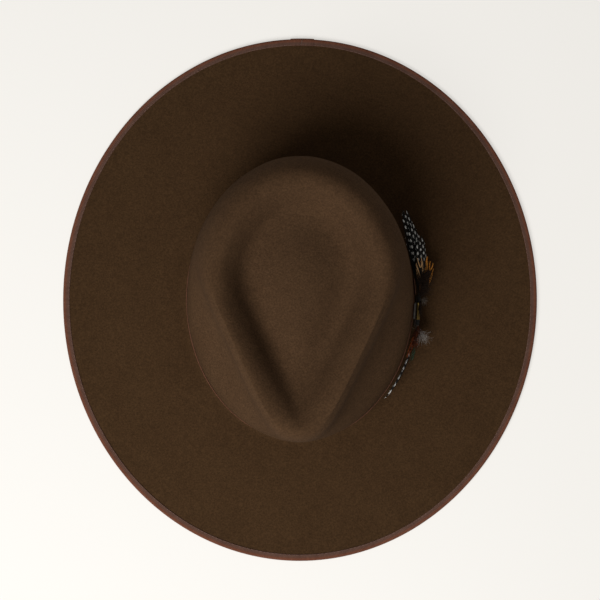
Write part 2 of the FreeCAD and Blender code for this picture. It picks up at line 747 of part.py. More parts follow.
FERRULE_ROUNDING = 0.15
LASHING_ROUNDING = 0.3
BACKING_ROUNDING = 4.0
GLUE_LINE = 0.05                      # between the ferrule and what is fixed to it
CLIP_SLACK = 0.03                     # between the clip's outer leg and the leather
CLIP_GRIP = 0.35                      # between the clip's inner leg and the ribbon
CLIP_BEND_DROP = 0.15                 # of the bend's centre below the ribbon's top edge
CLIP_OUTER_FOOT = -7.0
CLIP_INNER_FOOT = -9.0


def make_fittings():
    """Ferrule, thread lashings, leather backing and the spring clip that grips the band."""
    make_tube("ornament_ferrule", "sizes.ferrule_radius", "sizes.ferrule_bore",
              "sizes.ferrule_length", 0, FERRULE_ROUNDING)
    past_ferrule = (size("ferrule_length") + size("wrap_length")) / 2 + GLUE_LINE
    for label, end in (("back_lashing", 1), ("front_lashing", -1)):
        make_tube(label, "sizes.wrap_radius", "sizes.ferrule_bore", "sizes.wrap_length",
                  end * past_ferrule, LASHING_ROUNDING)

    pad_out = -size("ferrule_radius") - GLUE_LINE - size("pad_thickness") / 2
    backing = new_body("leather_backing", ornament_place(x=pad_out))
    outline = new_sketch(backing, "backing_outline", "YZ_Plane")
    add_rectangle(outline, "sizes.pad_length", "sizes.pad_height")
    pad = add_pad(backing, outline, "sizes.pad_thickness")
    corners = edges_where(pad.Shape, lambda edge: edge.BoundBox.XLength > 0.01)
    round_edges(backing, pad, corners, BACKING_ROUNDING)
    make_clip(pad_out - size("pad_thickness") / 2 - CLIP_SLACK)


def make_clip(outer_face):
    """A strip of spring steel bent over the ribbon's top edge, one leg on each side of it."""
    thickness = size("clip_thickness")
    inner_face = band_face(0) - size("band_thickness") - CLIP_GRIP
    far_face = inner_face - thickness
    middle = (outer_face + far_face) / 2
    big = (outer_face - far_face) / 2
    small = big - thickness
    band_top = size("band_bottom") + size("band_height")
    bend_level = band_top - size("ornament_level") - CLIP_BEND_DROP
    clip = new_body("spring_clip", ornament_place())
    profile = new_sketch(clip, "clip_profile", "XZ_Plane")
    for near, far, foot in ((outer_face, outer_face - thickness, CLIP_OUTER_FOOT),
                            (inner_face, far_face, CLIP_INNER_FOOT)):
        corners = [Vector(near, bend_level), Vector(near, foot),
                   Vector(far, foot), Vector(far, bend_level)]
        for start, end in zip(corners, corners[1:]):
            profile.addGeometry(Part.LineSegment(start, end))
    bend_centre = Vector(middle, bend_level)
    for radius in (small, big):
        bend = Part.Circle(bend_centre, UP, radius)
        profile.addGeometry(Part.ArcOfCircle(bend, 0, math.pi))
    add_pad(clip, profile, "sizes.clip_width")


# ---------------------------------------------------------------- build, check and write
felt_skin = make_felt_body()
make_binding()
make_band()
make_sweatband()
make_sweatband_bow()
make_lining(felt_skin)
for name, plan in FEATHERS.items():
    make_feather(name, *plan)
make_plumes()
make_fittings()
doc.recompute()

for feature in doc.Objects:
    if {"Invalid", "Error"} & set(feature.State):
        raise RuntimeError("%s failed: %s" % (feature.Label, feature.State))
for feature in SUB_PARTS:
    shape = feature.Shape
    if shape.isNull() or not shape.isValid() or shape.Volume <= 0:
        raise RuntimeError("%s has no valid solid" % feature.Label)

os.makedirs("parts", exist_ok=True)
for feature in SUB_PARTS:
    feature.Shape.exportStep(os.path.join("parts", feature.Label + ".step"))
    box = feature.Shape.BoundBox
    print("%-24s %9.1f mm3  z %.2f to %.2f" % (
        feature.Label, feature.Shape.Volume, box.ZMin, box.ZMax))
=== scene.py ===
"""The looks of a brown felt fedora with a feather ornament, built round its CAD frame.

Shapes are worked out in millimetres, in the frame's own axes: +Z up, -Y the front of the hat
and +X the side with the feathers. Shape.make() turns them into metres.
"""

import math

import bpy
import numpy as np
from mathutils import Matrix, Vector


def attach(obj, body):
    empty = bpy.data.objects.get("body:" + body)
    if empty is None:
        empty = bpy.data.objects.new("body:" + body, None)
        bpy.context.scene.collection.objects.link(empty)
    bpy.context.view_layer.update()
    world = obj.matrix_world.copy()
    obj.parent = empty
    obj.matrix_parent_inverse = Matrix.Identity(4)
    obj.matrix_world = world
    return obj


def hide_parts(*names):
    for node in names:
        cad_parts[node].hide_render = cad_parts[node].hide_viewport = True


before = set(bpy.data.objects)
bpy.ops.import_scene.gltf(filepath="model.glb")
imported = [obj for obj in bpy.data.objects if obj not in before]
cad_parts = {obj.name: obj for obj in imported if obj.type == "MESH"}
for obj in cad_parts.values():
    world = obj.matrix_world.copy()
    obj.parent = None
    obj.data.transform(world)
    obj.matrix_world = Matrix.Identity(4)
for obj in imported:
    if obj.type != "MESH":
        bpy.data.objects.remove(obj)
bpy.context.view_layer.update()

MM = 0.001
TAU = 2 * math.pi
UP = np.array([0.0, 0.0, 1.0])
HAT = "hat"
ORNAMENT_BODY = "feather_ornament"
rng = np.random.default_rng(20)


# ------------------------------------------------------------------ shapes
def unit(vectors):
    """The same directions with a length of one."""
    return vectors / (np.linalg.norm(vectors, axis=-1, keepdims=True) + 1e-12)


def outward(ring):
    """Level directions away from the hat's axis, for a ring's points."""
    away = unit(ring)
    away[:, 2] = 0
    return away


def run_length(points):
    """How far along a line each of its points lies."""
    return np.append(0, np.cumsum(np.linalg.norm(np.diff(points, axis=0), axis=1)))


def section_lengths(section):
    """Distances round a closed section in millimetres, for its UVs."""
    return run_length(np.array(list(section) + [section[0]]))


def turns_of(count):
    """Evenly spaced angles of one whole turn."""
    return TAU * np.arange(count) / count


def bell(offset, breadth):
    """A smooth hump, one high at no offset."""
    return np.exp(-(offset / breadth) ** 2)


def smooth_step(share):
    """An easy passage from 0 to 1."""
    share = np.clip(share, 0.0, 1.0)
    return share * share * (3 - 2 * share)


def waviness(points, depth, wavelength, phase=0.0):
    """A smooth, gentle unevenness up to a depth either way, the same each time."""
    total = np.zeros(points.shape[:-1])
    waves = 6
    for number in range(waves):
        turn = 1.7 * number + phase
        way = unit(np.array([math.cos(turn), math.sin(turn * 1.31), math.sin(turn * 0.77 + 1)]))
        step = wavelength * (0.7 + 0.13 * number)
        total += np.sin(points @ way * TAU / step + 2.1 * number + phase)
    return depth * total / waves


def add_to_scene(name, data):
    """A new object that shows some data."""
    thing = bpy.data.objects.new(name, data)
    bpy.context.scene.collection.objects.link(thing)
    return thing


class Shape:
    """Points and faces of one piece, collected grid by grid, with a UV pair at each corner."""

    def __init__(self):
        self.points, self.quads, self.quad_uvs = [], [], []
        self.triangles, self.triangle_uvs = [], []
        self.count = 0

    def add_grid(self, points, u=None, v=None, closed_rows=False):
        """Rows of points joined by quads. Columns always close up, and rows do so with
        `closed_rows`. u and v are the columns' and rows' own coordinates."""
        rows, columns = points.shape[:2]
        u = np.arange(columns + 1.0) if u is None else u
        v = np.arange(rows + 1.0) if v is None else v
        quads = (rows if closed_rows else rows - 1) * columns
        row, column = np.divmod(np.arange(quads), columns)
        next_row, next_column = (row + 1) % rows, (column + 1) % columns
        self.quads.append(self.count + np.stack([
            row * columns + column, row * columns + next_column,
            next_row * columns + next_column, next_row * columns + column], -1))
        corners = [(u[column], v[row]), (u[column + 1], v[row]),
                   (u[column + 1], v[row + 1]), (u[column], v[row + 1])]
        self.quad_uvs.append(np.stack([np.stack(pair, -1) for pair in corners], 1))
        self.points.append(points.reshape(-1, 3))
        first = self.count
        self.count += rows * columns
        return first

    def add_tip(self, ring_first, columns, tip, flip=False):
        """A fan from one ring of a grid to a single point."""
        self.points.append(np.asarray(tip, float).reshape(1, 3))
        here = np.arange(columns)
        ahead = (here + 1) % columns
        near, far = (ahead, here) if flip else (here, ahead)
        self.triangles.append(np.stack([ring_first + near, ring_first + far,
                                        np.full(columns, self.count)], -1))
        self.triangle_uvs.append(np.zeros((columns, 3, 2)))
        self.count += 1

    def add_closed(self, rings, first_tip, last_tip, u=None, v=None):
        """A tube of rings with a fan over each end."""
        columns = rings.shape[1]
        first = self.add_grid(rings, u, v)
        self.add_tip(first, columns, first_tip, flip=True)
        self.add_tip(first + (len(rings) - 1) * columns, columns, last_tip)

    def add_rod(self, points, radii, sides=6, across=None):
        """A closed rod along points, its ends drawn to a point."""
        tangents = unit(np.gradient(points, axis=0))
        if across is None:
            across = UP if abs(tangents[0, 2]) < 0.9 else np.array([1.0, 0.0, 0.0])
        first = unit(np.cross(tangents, across))
        second = np.cross(tangents, first)
        turns = turns_of(sides)[None, :, None]
        radii = np.broadcast_to(radii, len(points))[:, None, None]
        rings = points[:, None] + radii * (np.cos(turns) * first[:, None]
                                           + np.sin(turns) * second[:, None])
        self.add_closed(rings, points[0], points[-1], u=np.linspace(0, 1, sides + 1))

    def add_sheet(self, front, back, levels):
        """A thin upright sheet from the rows of its two faces."""
        rings = np.concatenate([front, back[:, ::-1]], axis=1)
        self.add_closed(rings, rings[0].mean(0), rings[-1].mean(0),
                        section_lengths(rings[0, :, :2]), np.append(levels, levels[-1] + 1))

    def make(self, name, body, material, nodes):
        """The finished mesh, riding on a body in place of its CAD nodes."""
        points = np.concatenate(self.points) * MM
        quads = np.concatenate(self.quads)
        parts, uvs = [quads.ravel()], [np.concatenate(self.quad_uvs).reshape(-1, 2)]
        starts = [np.arange(len(quads)) * 4]
        if self.triangles:
            triangles = np.concatenate(self.triangles)
            parts.append(triangles.ravel())
            uvs.append(np.concatenate(self.triangle_uvs).reshape(-1, 2))
            starts.append(quads.size + np.arange(len(triangles)) * 3)
        corners, starts = np.concatenate(parts), np.concatenate(starts)
        mesh = bpy.data.meshes.new(name)
        mesh.vertices.add(len(points))
        mesh.vertices.foreach_set("co", points.astype(np.float32).ravel())
        mesh.loops.add(len(corners))
        mesh.loops.foreach_set("vertex_index", corners.astype(np.int32))
        mesh.polygons.add(len(starts))
        mesh.polygons.foreach_set("loop_start", starts.astype(np.int32))
        layer = mesh.uv_layers.new(name="UVMap")
        layer.data.foreach_set("uv", np.concatenate(uvs).astype(np.float32).ravel())
        mesh.polygons.foreach_set("use_smooth", np.ones(len(starts), bool))
        mesh.update()
        mesh.validate()
        mesh.materials.append(material)
        piece = add_to_scene(name, mesh)
        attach(piece, body)
        if nodes:
            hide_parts(*nodes)
        return piece


# ------------------------------------------------------------------ materials
class Finish:
    """A node material, with short ways to add the nodes that its colour and relief need."""

    def __init__(self, name, roughness=0.6, **settings):
        self.material = bpy.data.materials.new(name)
        self.material.use_nodes = True
        self.nodes = self.material.node_tree.nodes
        self.links = self.material.node_tree.links
        self.shader = self.nodes["Principled BSDF"]
        self.shader.inputs["Roughness"].default_value = roughness
        for socket, value in settings.items():
            self.shader.inputs[socket.replace("_", " ")].default_value = value

    def put(self, socket, value):
        if isinstance(value, bpy.types.NodeSocket):
            self.links.new(value, socket)
        else:
            socket.default_value = (*value, 1) if isinstance(value, tuple) else value

    def place(self, stretch=(1, 1, 1), uv=False):
        """Object or UV coordinates, stretched."""
        where = self.nodes.new("ShaderNodeTexCoord")
        mapping = self.nodes.new("ShaderNodeMapping")
        mapping.inputs["Scale"].default_value = stretch
        self.links.new(where.outputs["UV" if uv else "Object"], mapping.inputs["Vector"])
        return mapping.outputs["Vector"]

    def noise(self, size_mm, vector=None, detail=2.0, roughness=0.5):
        node = self.nodes.new("ShaderNodeTexNoise")
        node.inputs["Scale"].default_value = 1.0 / (size_mm * MM)
        node.inputs["Detail"].default_value = detail
        node.inputs["Roughness"].default_value = roughness
        self.links.new(vector or self.place(), node.inputs["Vector"])
        return node.outputs["Fac"]

    def math(self, operation, first, second=0.0):
        node = self.nodes.new("ShaderNodeMath")
        node.operation = operation
        self.put(node.inputs[0], first)
        self.put(node.inputs[1], second)
        return node.outputs[0]

    def split(self, vector):
        node = self.nodes.new("ShaderNodeSeparateXYZ")
        self.links.new(vector, node.inputs[0])
        return node.outputs

    def ramp(self, factor, *stops):
        """Colours or grey levels along a factor: (position, value) pairs."""
        node = self.nodes.new("ShaderNodeValToRGB")
        elements = node.color_ramp.elements
        while len(elements) < len(stops):
            elements.new(0.5)
        for element, (position, value) in zip(elements, stops):
            element.position = position
            element.color = (*(value if isinstance(value, tuple) else (value,) * 3), 1)
        self.links.new(factor, node.inputs["Fac"])
        return node.outputs["Color"]

    def mix(self, factor, first, second, blend="MIX"):
        node = self.nodes.new("ShaderNodeMix")
        node.data_type = "RGBA"
        node.blend_type = blend
        for number, value in ((0, factor), (6, first), (7, second)):
            self.put(node.inputs[number], value)
        return node.outputs[2]

    def tone(self, size_mm, detail, dark, light):
        """A slow wander between two colours."""
        return self.ramp(self.noise(size_mm, detail=detail), (0.3, dark), (0.7, light))

    def shade(self, colour, share, pattern, *stops):
        """A colour darkened and lightened by a share of a pattern."""
        return self.mix(share, colour, self.ramp(pattern, *stops), "MULTIPLY")

    def colour(self, value):
        self.put(self.shader.inputs["Base Color"], value)

    def roughness(self, value):
        self.put(self.shader.inputs["Roughness"], value)

    def bump(self, *layers):
        """Relief from one or more (height, depth in mm) layers."""
        normal = None
        for height, depth in layers:
            node = self.nodes.new("ShaderNodeBump")
            node.inputs["Distance"].default_value = depth * MM
            self.links.new(height, node.inputs["Height"])
            if normal:
                self.links.new(normal, node.inputs["Normal"])
            normal = node.outputs["Normal"]
        self.links.new(normal, self.shader.inputs["Normal"])

    def wave(self, at, steepness):
        """A sine wave from 0 to 1: half the sine and, by the node's own default, plus 0.5."""
        sine = self.math("SINE", self.math("MULTIPLY", at, steepness))
        return self.math("MULTIPLY_ADD", sine, 0.5)

    def ribs(self, axis, pitch_mm):
        """Rounded ribs across one UV axis, whose coordinates are in millimetres."""
        return self.wave(self.split(self.place(uv=True))[axis], TAU / pitch_mm)


def felt_finish():
    """Fur felt: matt brown with fine paler and darker fibres and a short nap, with painted
    light making the crown paler than the brim, as if it stood nearer the lamp."""
    felt = Finish("fur_felt", 0.95, Specular_IOR_Level=0.05)
    blotch = felt.noise(5, detail=3)
    fleck = felt.noise(1.3, detail=3, roughness=0.75)
    # painted light: the felt grows paler with height, standing in for the crown lying nearer the
    # lamp than the brim
    height = felt.math("DIVIDE", felt.split(felt.place())[2], 100 * MM)
    base = felt.tone(30, 3, (0.0410, 0.0211, 0.0090), (0.0450, 0.0235, 0.0101))
    base = felt.shade(base, 1.0, height, (0.12, 1.0), (0.60, (1.28, 1.32, 1.50)))
    base = felt.shade(base, 1.0, blotch, (0.35, 0.95), (0.65, 1.05))
    felt.colour(felt.shade(base, 1.0, fleck, (0.34, 0.74), (0.5, 1.0), (0.66, 1.30)))
    felt.bump((fleck, 0.25), (blotch, 0.12))
    return felt.material


RIB_PITCH = 0.95


def ribbon_finish(name, dark, light, rib_axis):
    """Grosgrain ribbon: fine ribs across its width, faintly uneven in colour."""
    ribbon = Finish(name, 0.7, Specular_IOR_Level=0.2)
    rib = ribbon.ribs(rib_axis, RIB_PITCH)
    thread = ribbon.ribs(1 - rib_axis, 0.32)
    base = ribbon.shade(ribbon.tone(9, 3, dark, light), 0.7, rib, (0.0, 0.55), (0.6, 1.1))
    ribbon.colour(ribbon.shade(base, 0.3, thread, (0, 0.75), (1, 1.15)))
    ribbon.bump((rib, 0.22), (thread, 0.05))
    return ribbon.material


def binding_finish(name, rib_axis):
    """The binding's grosgrain, redder where it is pulled tight round the brim's edge."""
    ribbon = Finish(name, 0.7, Specular_IOR_Level=0.2)
    rib = ribbon.ribs(rib_axis, RIB_PITCH)
    weave = ribbon.ribs(1 - rib_axis, 0.8)
    across = ribbon.split(ribbon.place(uv=True))[1 - rib_axis]
    base = ribbon.tone(7, 4, (0.088, 0.041, 0.027), (0.112, 0.055, 0.037))
    base = ribbon.shade(base, 1.0, ribbon.math("DIVIDE", across, 10.0),
                        (0.20, (1.0, 1.0, 1.0)), (0.36, (1.42, 0.98, 0.72)))
    base = ribbon.shade(base, 0.45, weave, (0.0, 0.6), (0.7, 1.1))
    ribbon.colour(ribbon.shade(base, 0.7, rib, (0.0, 0.60), (0.6, 1.12)))
    ribbon.bump((rib, 0.22), (weave, 0.08))
    return ribbon.material


def leather_finish(name, dark, light, gloss=0.48):
    """Grained leather with pores and a slightly worn shine."""
    leather = Finish(name, gloss, Specular_IOR_Level=0.2)
    cells = leather.nodes.new("ShaderNodeTexVoronoi")
    cells.feature = "DISTANCE_TO_EDGE"
    cells.inputs["Scale"].default_value = 1 / (1.3 * MM)
    leather.links.new(leather.place(), cells.inputs["Vector"])
    grain = leather.ramp(cells.outputs["Distance"], (0.0, 0.0), (0.18, 1.0))
    fine = leather.noise(0.5)
    base = leather.tone(17, 4, dark, light)
    leather.colour(leather.shade(base, 0.45, grain, (0, 0.6), (1, 1.05)))
    leather.roughness(leather.ramp(fine, (0.3, gloss - 0.08), (0.7, gloss + 0.14)))
    leather.bump((grain, 0.10), (fine, 0.05))
    return leather.material


def satin_finish():
    """Satin lining: a fine diagonal weave with a soft directional shine."""
    satin = Finish("lining_satin_weave", 0.34, Specular_IOR_Level=0.5, Sheen_Weight=0.3,
                   Sheen_Roughness=0.3, Anisotropic=0.5)
    at = satin.split(satin.place(uv=True))
    weave = satin.wave(satin.math("ADD", at[0], at[1]), 14.0)
    base = satin.tone(22, 2, (0.118, 0.062, 0.030), (0.150, 0.082, 0.041))
    satin.colour(satin.shade(base, 0.25, weave, (0, 0.7), (1, 1.1)))
    satin.bump((weave, 0.03))
    return satin.material


def thread_finish(name, dark, light):
    """Twisted thread: slanting strands along a short stitch or a wound turn."""
    thread = Finish(name, 0.5, Specular_IOR_Level=0.15)
    strands = thread.ribs(1, 0.5)
    base = thread.tone(1.6, 2, dark, light)
    thread.colour(thread.shade(base, 0.5, strands, (0, 0.6), (1, 1.15)))
    thread.bump((strands, 0.06))
    return thread.material


def metal_finish(name, colour, roughness, streak):
    """Drawn or rolled metal, with fine streaks and slight tarnish."""
    metal = Finish(name, roughness, Metallic=1.0)
    lines = metal.noise(0.35, metal.place(streak))
    worn = tuple(channel * 0.55 for channel in colour)
    metal.colour(metal.ramp(metal.noise(3.2, detail=3), (0.3, worn), (0.55, colour)))
    metal.roughness(metal.ramp(lines, (0.3, roughness), (0.7, roughness + 0.22)))
    metal.bump((lines, 0.03))
    return metal.material


def reed_finish():
    """Pale, slightly shiny plastic."""
    reed = Finish("reed_plastic", 0.3, Specular_IOR_Level=0.5)
    reed.colour(reed.tone(6, 2, (0.50, 0.44, 0.34), (0.60, 0.54, 0.43)))
    return reed.material


def barb_finish(name, dark, light, tip=None, tip_from=None, length_mm=None, gloss=0.6,
                metallic=0.0, patchy=0.4):
    """Feather barbs: silky, streaked along each barb and a little patchy, with a (dark,
    light) pair of other colours from one share of the vane's length towards its tip."""
    barb = Finish(name, gloss, Specular_IOR_Level=0.12, Metallic=metallic)
    streak = barb.noise(0.7, roughness=0.7)
    base = barb.ramp(streak, (0.32, dark), (0.66, light))
    if tip:
        along = barb.math("DIVIDE", barb.split(barb.place(uv=True))[1], length_mm)
        uneven = barb.math("SUBTRACT", barb.noise(2.5), 0.5)
        wander = barb.math("MULTIPLY", uneven, 0.5)
        share = barb.ramp(barb.math("ADD", along, wander), (tip_from[0], 0.0),
                          (tip_from[1], 1.0))
        base = barb.mix(share, base, barb.ramp(streak, (0.36, tip[0]), (0.62, tip[1])))
    barb.colour(barb.shade(base, patchy, barb.noise(1.8, detail=1), (0.40, 0.35),
                           (0.60, 1.30)))
    barb.bump((streak, 0.05))
    return barb.material


def guinea_finish(name, cell_long, cell_wide, dot_long, dot_wide, plain_mm=(18, 24)):
    """Black barbs with rows of ragged white dots, each row half a step off the last, but
    plain towards the quill. UVs are millimetres across and along the vane."""
    guinea = Finish(name, 0.65, Specular_IOR_Level=0.12)
    across, along, _ = guinea.split(guinea.place(uv=True))
    middle_row = 40.5                  # puts the shaft in the middle of a row
    row = guinea.math("DIVIDE", guinea.math("ADD", across, middle_row * cell_wide), cell_wide)
    odd = guinea.math("MULTIPLY", guinea.math("MODULO", guinea.math("FLOOR", row), 2.0), 0.5)
    step = guinea.math("ADD", guinea.math("DIVIDE", along, cell_long), odd)
    squares = []
    for counter, cell, dot in ((row, cell_wide, dot_wide), (step, cell_long, dot_long)):
        offset = guinea.math("SUBTRACT", guinea.math("FRACT", counter), 0.5)
        scaled = guinea.math("MULTIPLY", offset, 2 * cell / dot)
        squares.append(guinea.math("MULTIPLY", scaled, scaled))
    ragged = guinea.math("SUBTRACT", guinea.noise(0.6), 0.5)
    reach = guinea.math("ADD", guinea.math("ADD", *squares), ragged)
    dots = guinea.ramp(reach, (0.80, 1.0), (1.10, 0.0))
    dots = guinea.shade(dots, 1.0, guinea.math("DIVIDE", along, 100.0),
                        (plain_mm[0] / 100, 0.0), (plain_mm[1] / 100, 1.0))
    marble = guinea.ramp(guinea.noise(0.9, detail=3, roughness=0.75),
                         (0.50, (0.004, 0.004, 0.004)), (0.72, (0.040, 0.038, 0.036)))
    guinea.colour(guinea.mix(dots, marble, (0.86, 0.85, 0.82)))
    guinea.bump((guinea.noise(0.4), 0.05))
    return guinea.material


felt = felt_finish()
binding_ribbon = binding_finish("binding_grosgrain", 0)
binding_lap_ribbon = binding_finish("binding_lap_grosgrain", 1)
band_ribbon = ribbon_finish("band_grosgrain", (0.120, 0.045, 0.024), (0.150, 0.058, 0.032), 0)
keeper_ribbon = ribbon_finish("keeper_grosgrain", (0.094, 0.034, 0.017),
                              (0.116, 0.044, 0.022), 1)
welt_ribbon = ribbon_finish("welt_grosgrain", (0.070, 0.030, 0.016), (0.095, 0.042, 0.024), 0)
tape_ribbon = ribbon_finish("tape_grosgrain", (0.045, 0.020, 0.012), (0.064, 0.030, 0.018), 1)
sweat_leather = leather_finish("sweat_leather_grain", (0.120, 0.052, 0.022),
                               (0.165, 0.076, 0.033))
backing_leather = leather_finish("backing_leather_grain", (0.016, 0.009, 0.006),
                                 (0.028, 0.017, 0.011), 0.6)
lining_satin = satin_finish()
binding_thread = thread_finish("binding_thread", (0.110, 0.064, 0.048), (0.180, 0.112, 0.088))
pale_thread = thread_finish("pale_thread", (0.30, 0.20, 0.13), (0.46, 0.33, 0.23))
dark_thread = thread_finish("lashing_thread", (0.008, 0.007, 0.007), (0.026, 0.022, 0.020))
brass = metal_finish("ferrule_brass", (0.24, 0.155, 0.045), 0.36, (1, 0.06, 1))
steel = metal_finish("clip_steel", (0.10, 0.09, 0.08), 0.42, (0.06, 1, 0.06))
reed_plastic = reed_finish()


# ------------------------------------------------------------------ felt body
BRIM_HALF = (182.5, 201.0)
BINDING_SPACE = 0.6                    # the ribbon's thickness and its clearance
FELT_THICKNESS = 2.5
BRIM_RISE = 4.4
HEAD_HALF = (85.7, 105.4)
BREAK_RADIUS = 5.0
BREAK_TURNS = (30, 60)
CENTRE_LEVEL = 95.4
PINCH_ANGLE = math.radians(25.1)
FLAT_RIM = 0.07
BRIM_STATIONS = (0, 0.035, FLAT_RIM, 0.12, 0.2, 0.3, 0.42, 0.54, 0.66, 0.78, 0.88, 0.95, 1)
# level, half width, half length at the back and front, pinch distance, dip, rise, sharpness
CROWN_RINGS = (
    (12.5, 85.7, 105.4, 105.4, 0, 0, 0, 12),
    (25.0, 85.7, 105.6, 105.5, 140, 0, 0, 12),
    (38.0, 85.65, 106.0, 105.8, 113, 0, 0, 12),
    (50.0, 85.6, 106.6, 106.0, 92.5, 0, 0, 12),
    (62.0, 85.3, 107.2, 106.1, 77.5, 0, 0, 12),
    (74.0, 84.5, 107.0, 105.7, 67.5, 0.5, 0, 12),
    (85.0, 82.4, 105.2, 105.2, 63.5, 1.5, 0, 12),
    (94.5, 79.0, 102.0, 104.2, 62.6, 2.5, 0, 12),
    (102.0, 74.2, 97.6, 102.0, 61.3, 3.5, 0, 12),
    (106.2, 68.6, 92.0, 98.8, 57.8, 4.0, 0, 12),
    (106.6, 62.4, 85.6, 95.2, 53.6, 4.2, 1, 12),
    (103.0, 56.6, 79.4, 92.6, 47.6, 4.0, 5, 11),
    (97.0, 51.2, 73.8, 91.0, 42.0, 3.2, 11, 10),
    (91.0, 46.0, 68.4, 90.0, 37.6, 2.4, 16, 8),
    (88.2, 39.5, 61.0, 88.0, 33.2, 1.6, 18, 6),
    (88.8, 31.5, 50.5, 80.0, 28.6, 1.0, 17, 4),
    (92.0, 21.5, 36.5, 56.0, 22.0, 0.5, 15, 3),
    (94.6, 10.5, 18.5, 27.0, 12.0, 0.2, 14, 3),
)
WALL_RING = len(BRIM_STATIONS) + len(BREAK_TURNS)      # the first of them among all rings
FELT_AROUND = 384
FELT_STEP = 2.6                        # mm between the felt mesh's rings
FELT_WAVES = ((0.22, 34), (0.10, 11, 2.0))             # depth, length and phase
CREST_RING = -10                       # the felt ring that the crown's crest runs along
CREST_STEP = 0.6                       # mm between the mesh's rings near the crest
CREST_NEAR = 16
CREST_RISE = 2.4
CREST_OUTER_REACH, CREST_INNER_REACH = 1.8, 6.0


def oval_reach(angles, half_width, half_length):
    """How far from its middle an oval's edge lies, by angle."""
    return 1 / np.hypot(np.cos(angles) / half_width, np.sin(angles) / half_length)


def oval_ring(angles, level, half_width, half_length):
    """Points of a flat oval at given angles, as the CAD's rings."""
    reach = oval_reach(angles, half_width, half_length)
    return np.stack([reach * np.cos(angles), reach * np.sin(angles),
                     np.full(len(angles), float(level))], -1)


def pinched_ring(angles, level, half_width, back, front, pinch, dip, rise, sharpness):
    """An oval with two flats pressed into its front, its level dipping and rising along it."""
    reach = oval_reach(angles, half_width, np.where(np.sin(angles) > 0, back, front))
    if pinch:
        left = np.maximum(np.cos(angles + PINCH_ANGLE), 0) / pinch
        right = np.maximum(np.cos(math.pi - angles + PINCH_ANGLE), 0) / pinch
        walls = (1 / reach) ** sharpness + left ** sharpness + right ** sharpness
        reach = walls ** (-1 / sharpness)
    along = reach * np.sin(angles)
    height = level - dip * along / 100 + rise * np.maximum(-along, 0) ** 2 / 1e4
    return np.stack([reach * np.cos(angles), along, height], -1)


def felt_rings(angles):
    """The upper side of the felt, ring by ring, from the brim edge to the crown's dent."""
    edge_level = BINDING_SPACE + FELT_THICKNESS
    edge = [half - BINDING_SPACE for half in BRIM_HALF]
    foot = [half + BREAK_RADIUS for half in HEAD_HALF]
    rings = []
    for share in BRIM_STATIONS:
        half = [e + (f - e) * share for e, f in zip(edge, foot)]
        lift = float(smooth_step((share - FLAT_RIM) / (1 - FLAT_RIM)))
        rings.append(oval_ring(angles, edge_level + BRIM_RISE * lift, *half))
    for turn in np.radians(BREAK_TURNS):
        half = [f - BREAK_RADIUS * math.sin(turn) for f in foot]
        lift = BRIM_RISE + BREAK_RADIUS * (1 - math.cos(turn))
        rings.append(oval_ring(angles, edge_level + lift, *half))
    rings += [pinched_ring(angles, *station) for station in CROWN_RINGS]
    rings.append(np.tile([0.0, 0.0, CENTRE_LEVEL], (len(angles), 1)))
    return np.array(rings)


class Profile:
    """A natural cubic spline through rings, one parameter for all of their points."""

    def __init__(self, rings):
        self.rings = rings
        gaps = np.linalg.norm(np.diff(rings, axis=0), axis=2).mean(1)
        self.at = np.append(0, np.cumsum(gaps))
        matrix = np.eye(len(rings))
        right = np.zeros_like(rings)
        for row in range(1, len(rings) - 1):
            before, after = gaps[row - 1], gaps[row]
            matrix[row, row - 1:row + 2] = before, 2 * (before + after), after
            right[row] = 6 * ((rings[row + 1] - rings[row]) / after
                              - (rings[row] - rings[row - 1]) / before)
        self.bend = np.tensordot(np.linalg.inv(matrix), right, 1)

    def point(self, place):
        """Every column's point at one distance along the profile."""
        row = int(np.clip(np.searchsorted(self.at, place, side="right") - 1,
                          0, len(self.at) - 2))
        gap = self.at[row + 1] - self.at[row]
        after, before = place - self.at[row], self.at[row + 1] - place
        bend, rings = self.bend, self.rings
        return ((bend[row] * before ** 3 + bend[row + 1] * after ** 3) / (6 * gap)
                + (rings[row] / gap - bend[row] * gap / 6) * before
                + (rings[row + 1] / gap - bend[row + 1] * gap / 6) * after)

    def points(self, places):
        return np.array([self.point(place) for place in places])


def grid_normals(points):
    """Unit normals of a grid whose columns close up, pointing out of the hat."""
    around = np.roll(points, -1, axis=1) - np.roll(points, 1, axis=1)
    return unit(np.cross(around, np.gradient(points, axis=0)))


def pressed_crest(past_crest, upper):
    """How much the blocked pinches sharpen the crown's crest towards the front, in mm."""
    reach = np.where(past_crest < 0, CREST_OUTER_REACH, CREST_INNER_REACH)
    far = np.hypot(upper[..., 0], upper[..., 1])
    along, aside = upper[..., 1] / far, np.abs(upper[..., 0]) / far
    sector = smooth_step((0.15 - along) / 0.4) * smooth_step((aside - 0.10) / 0.25)
    return CREST_RISE * sector * np.exp(-np.abs(past_crest) / reach)


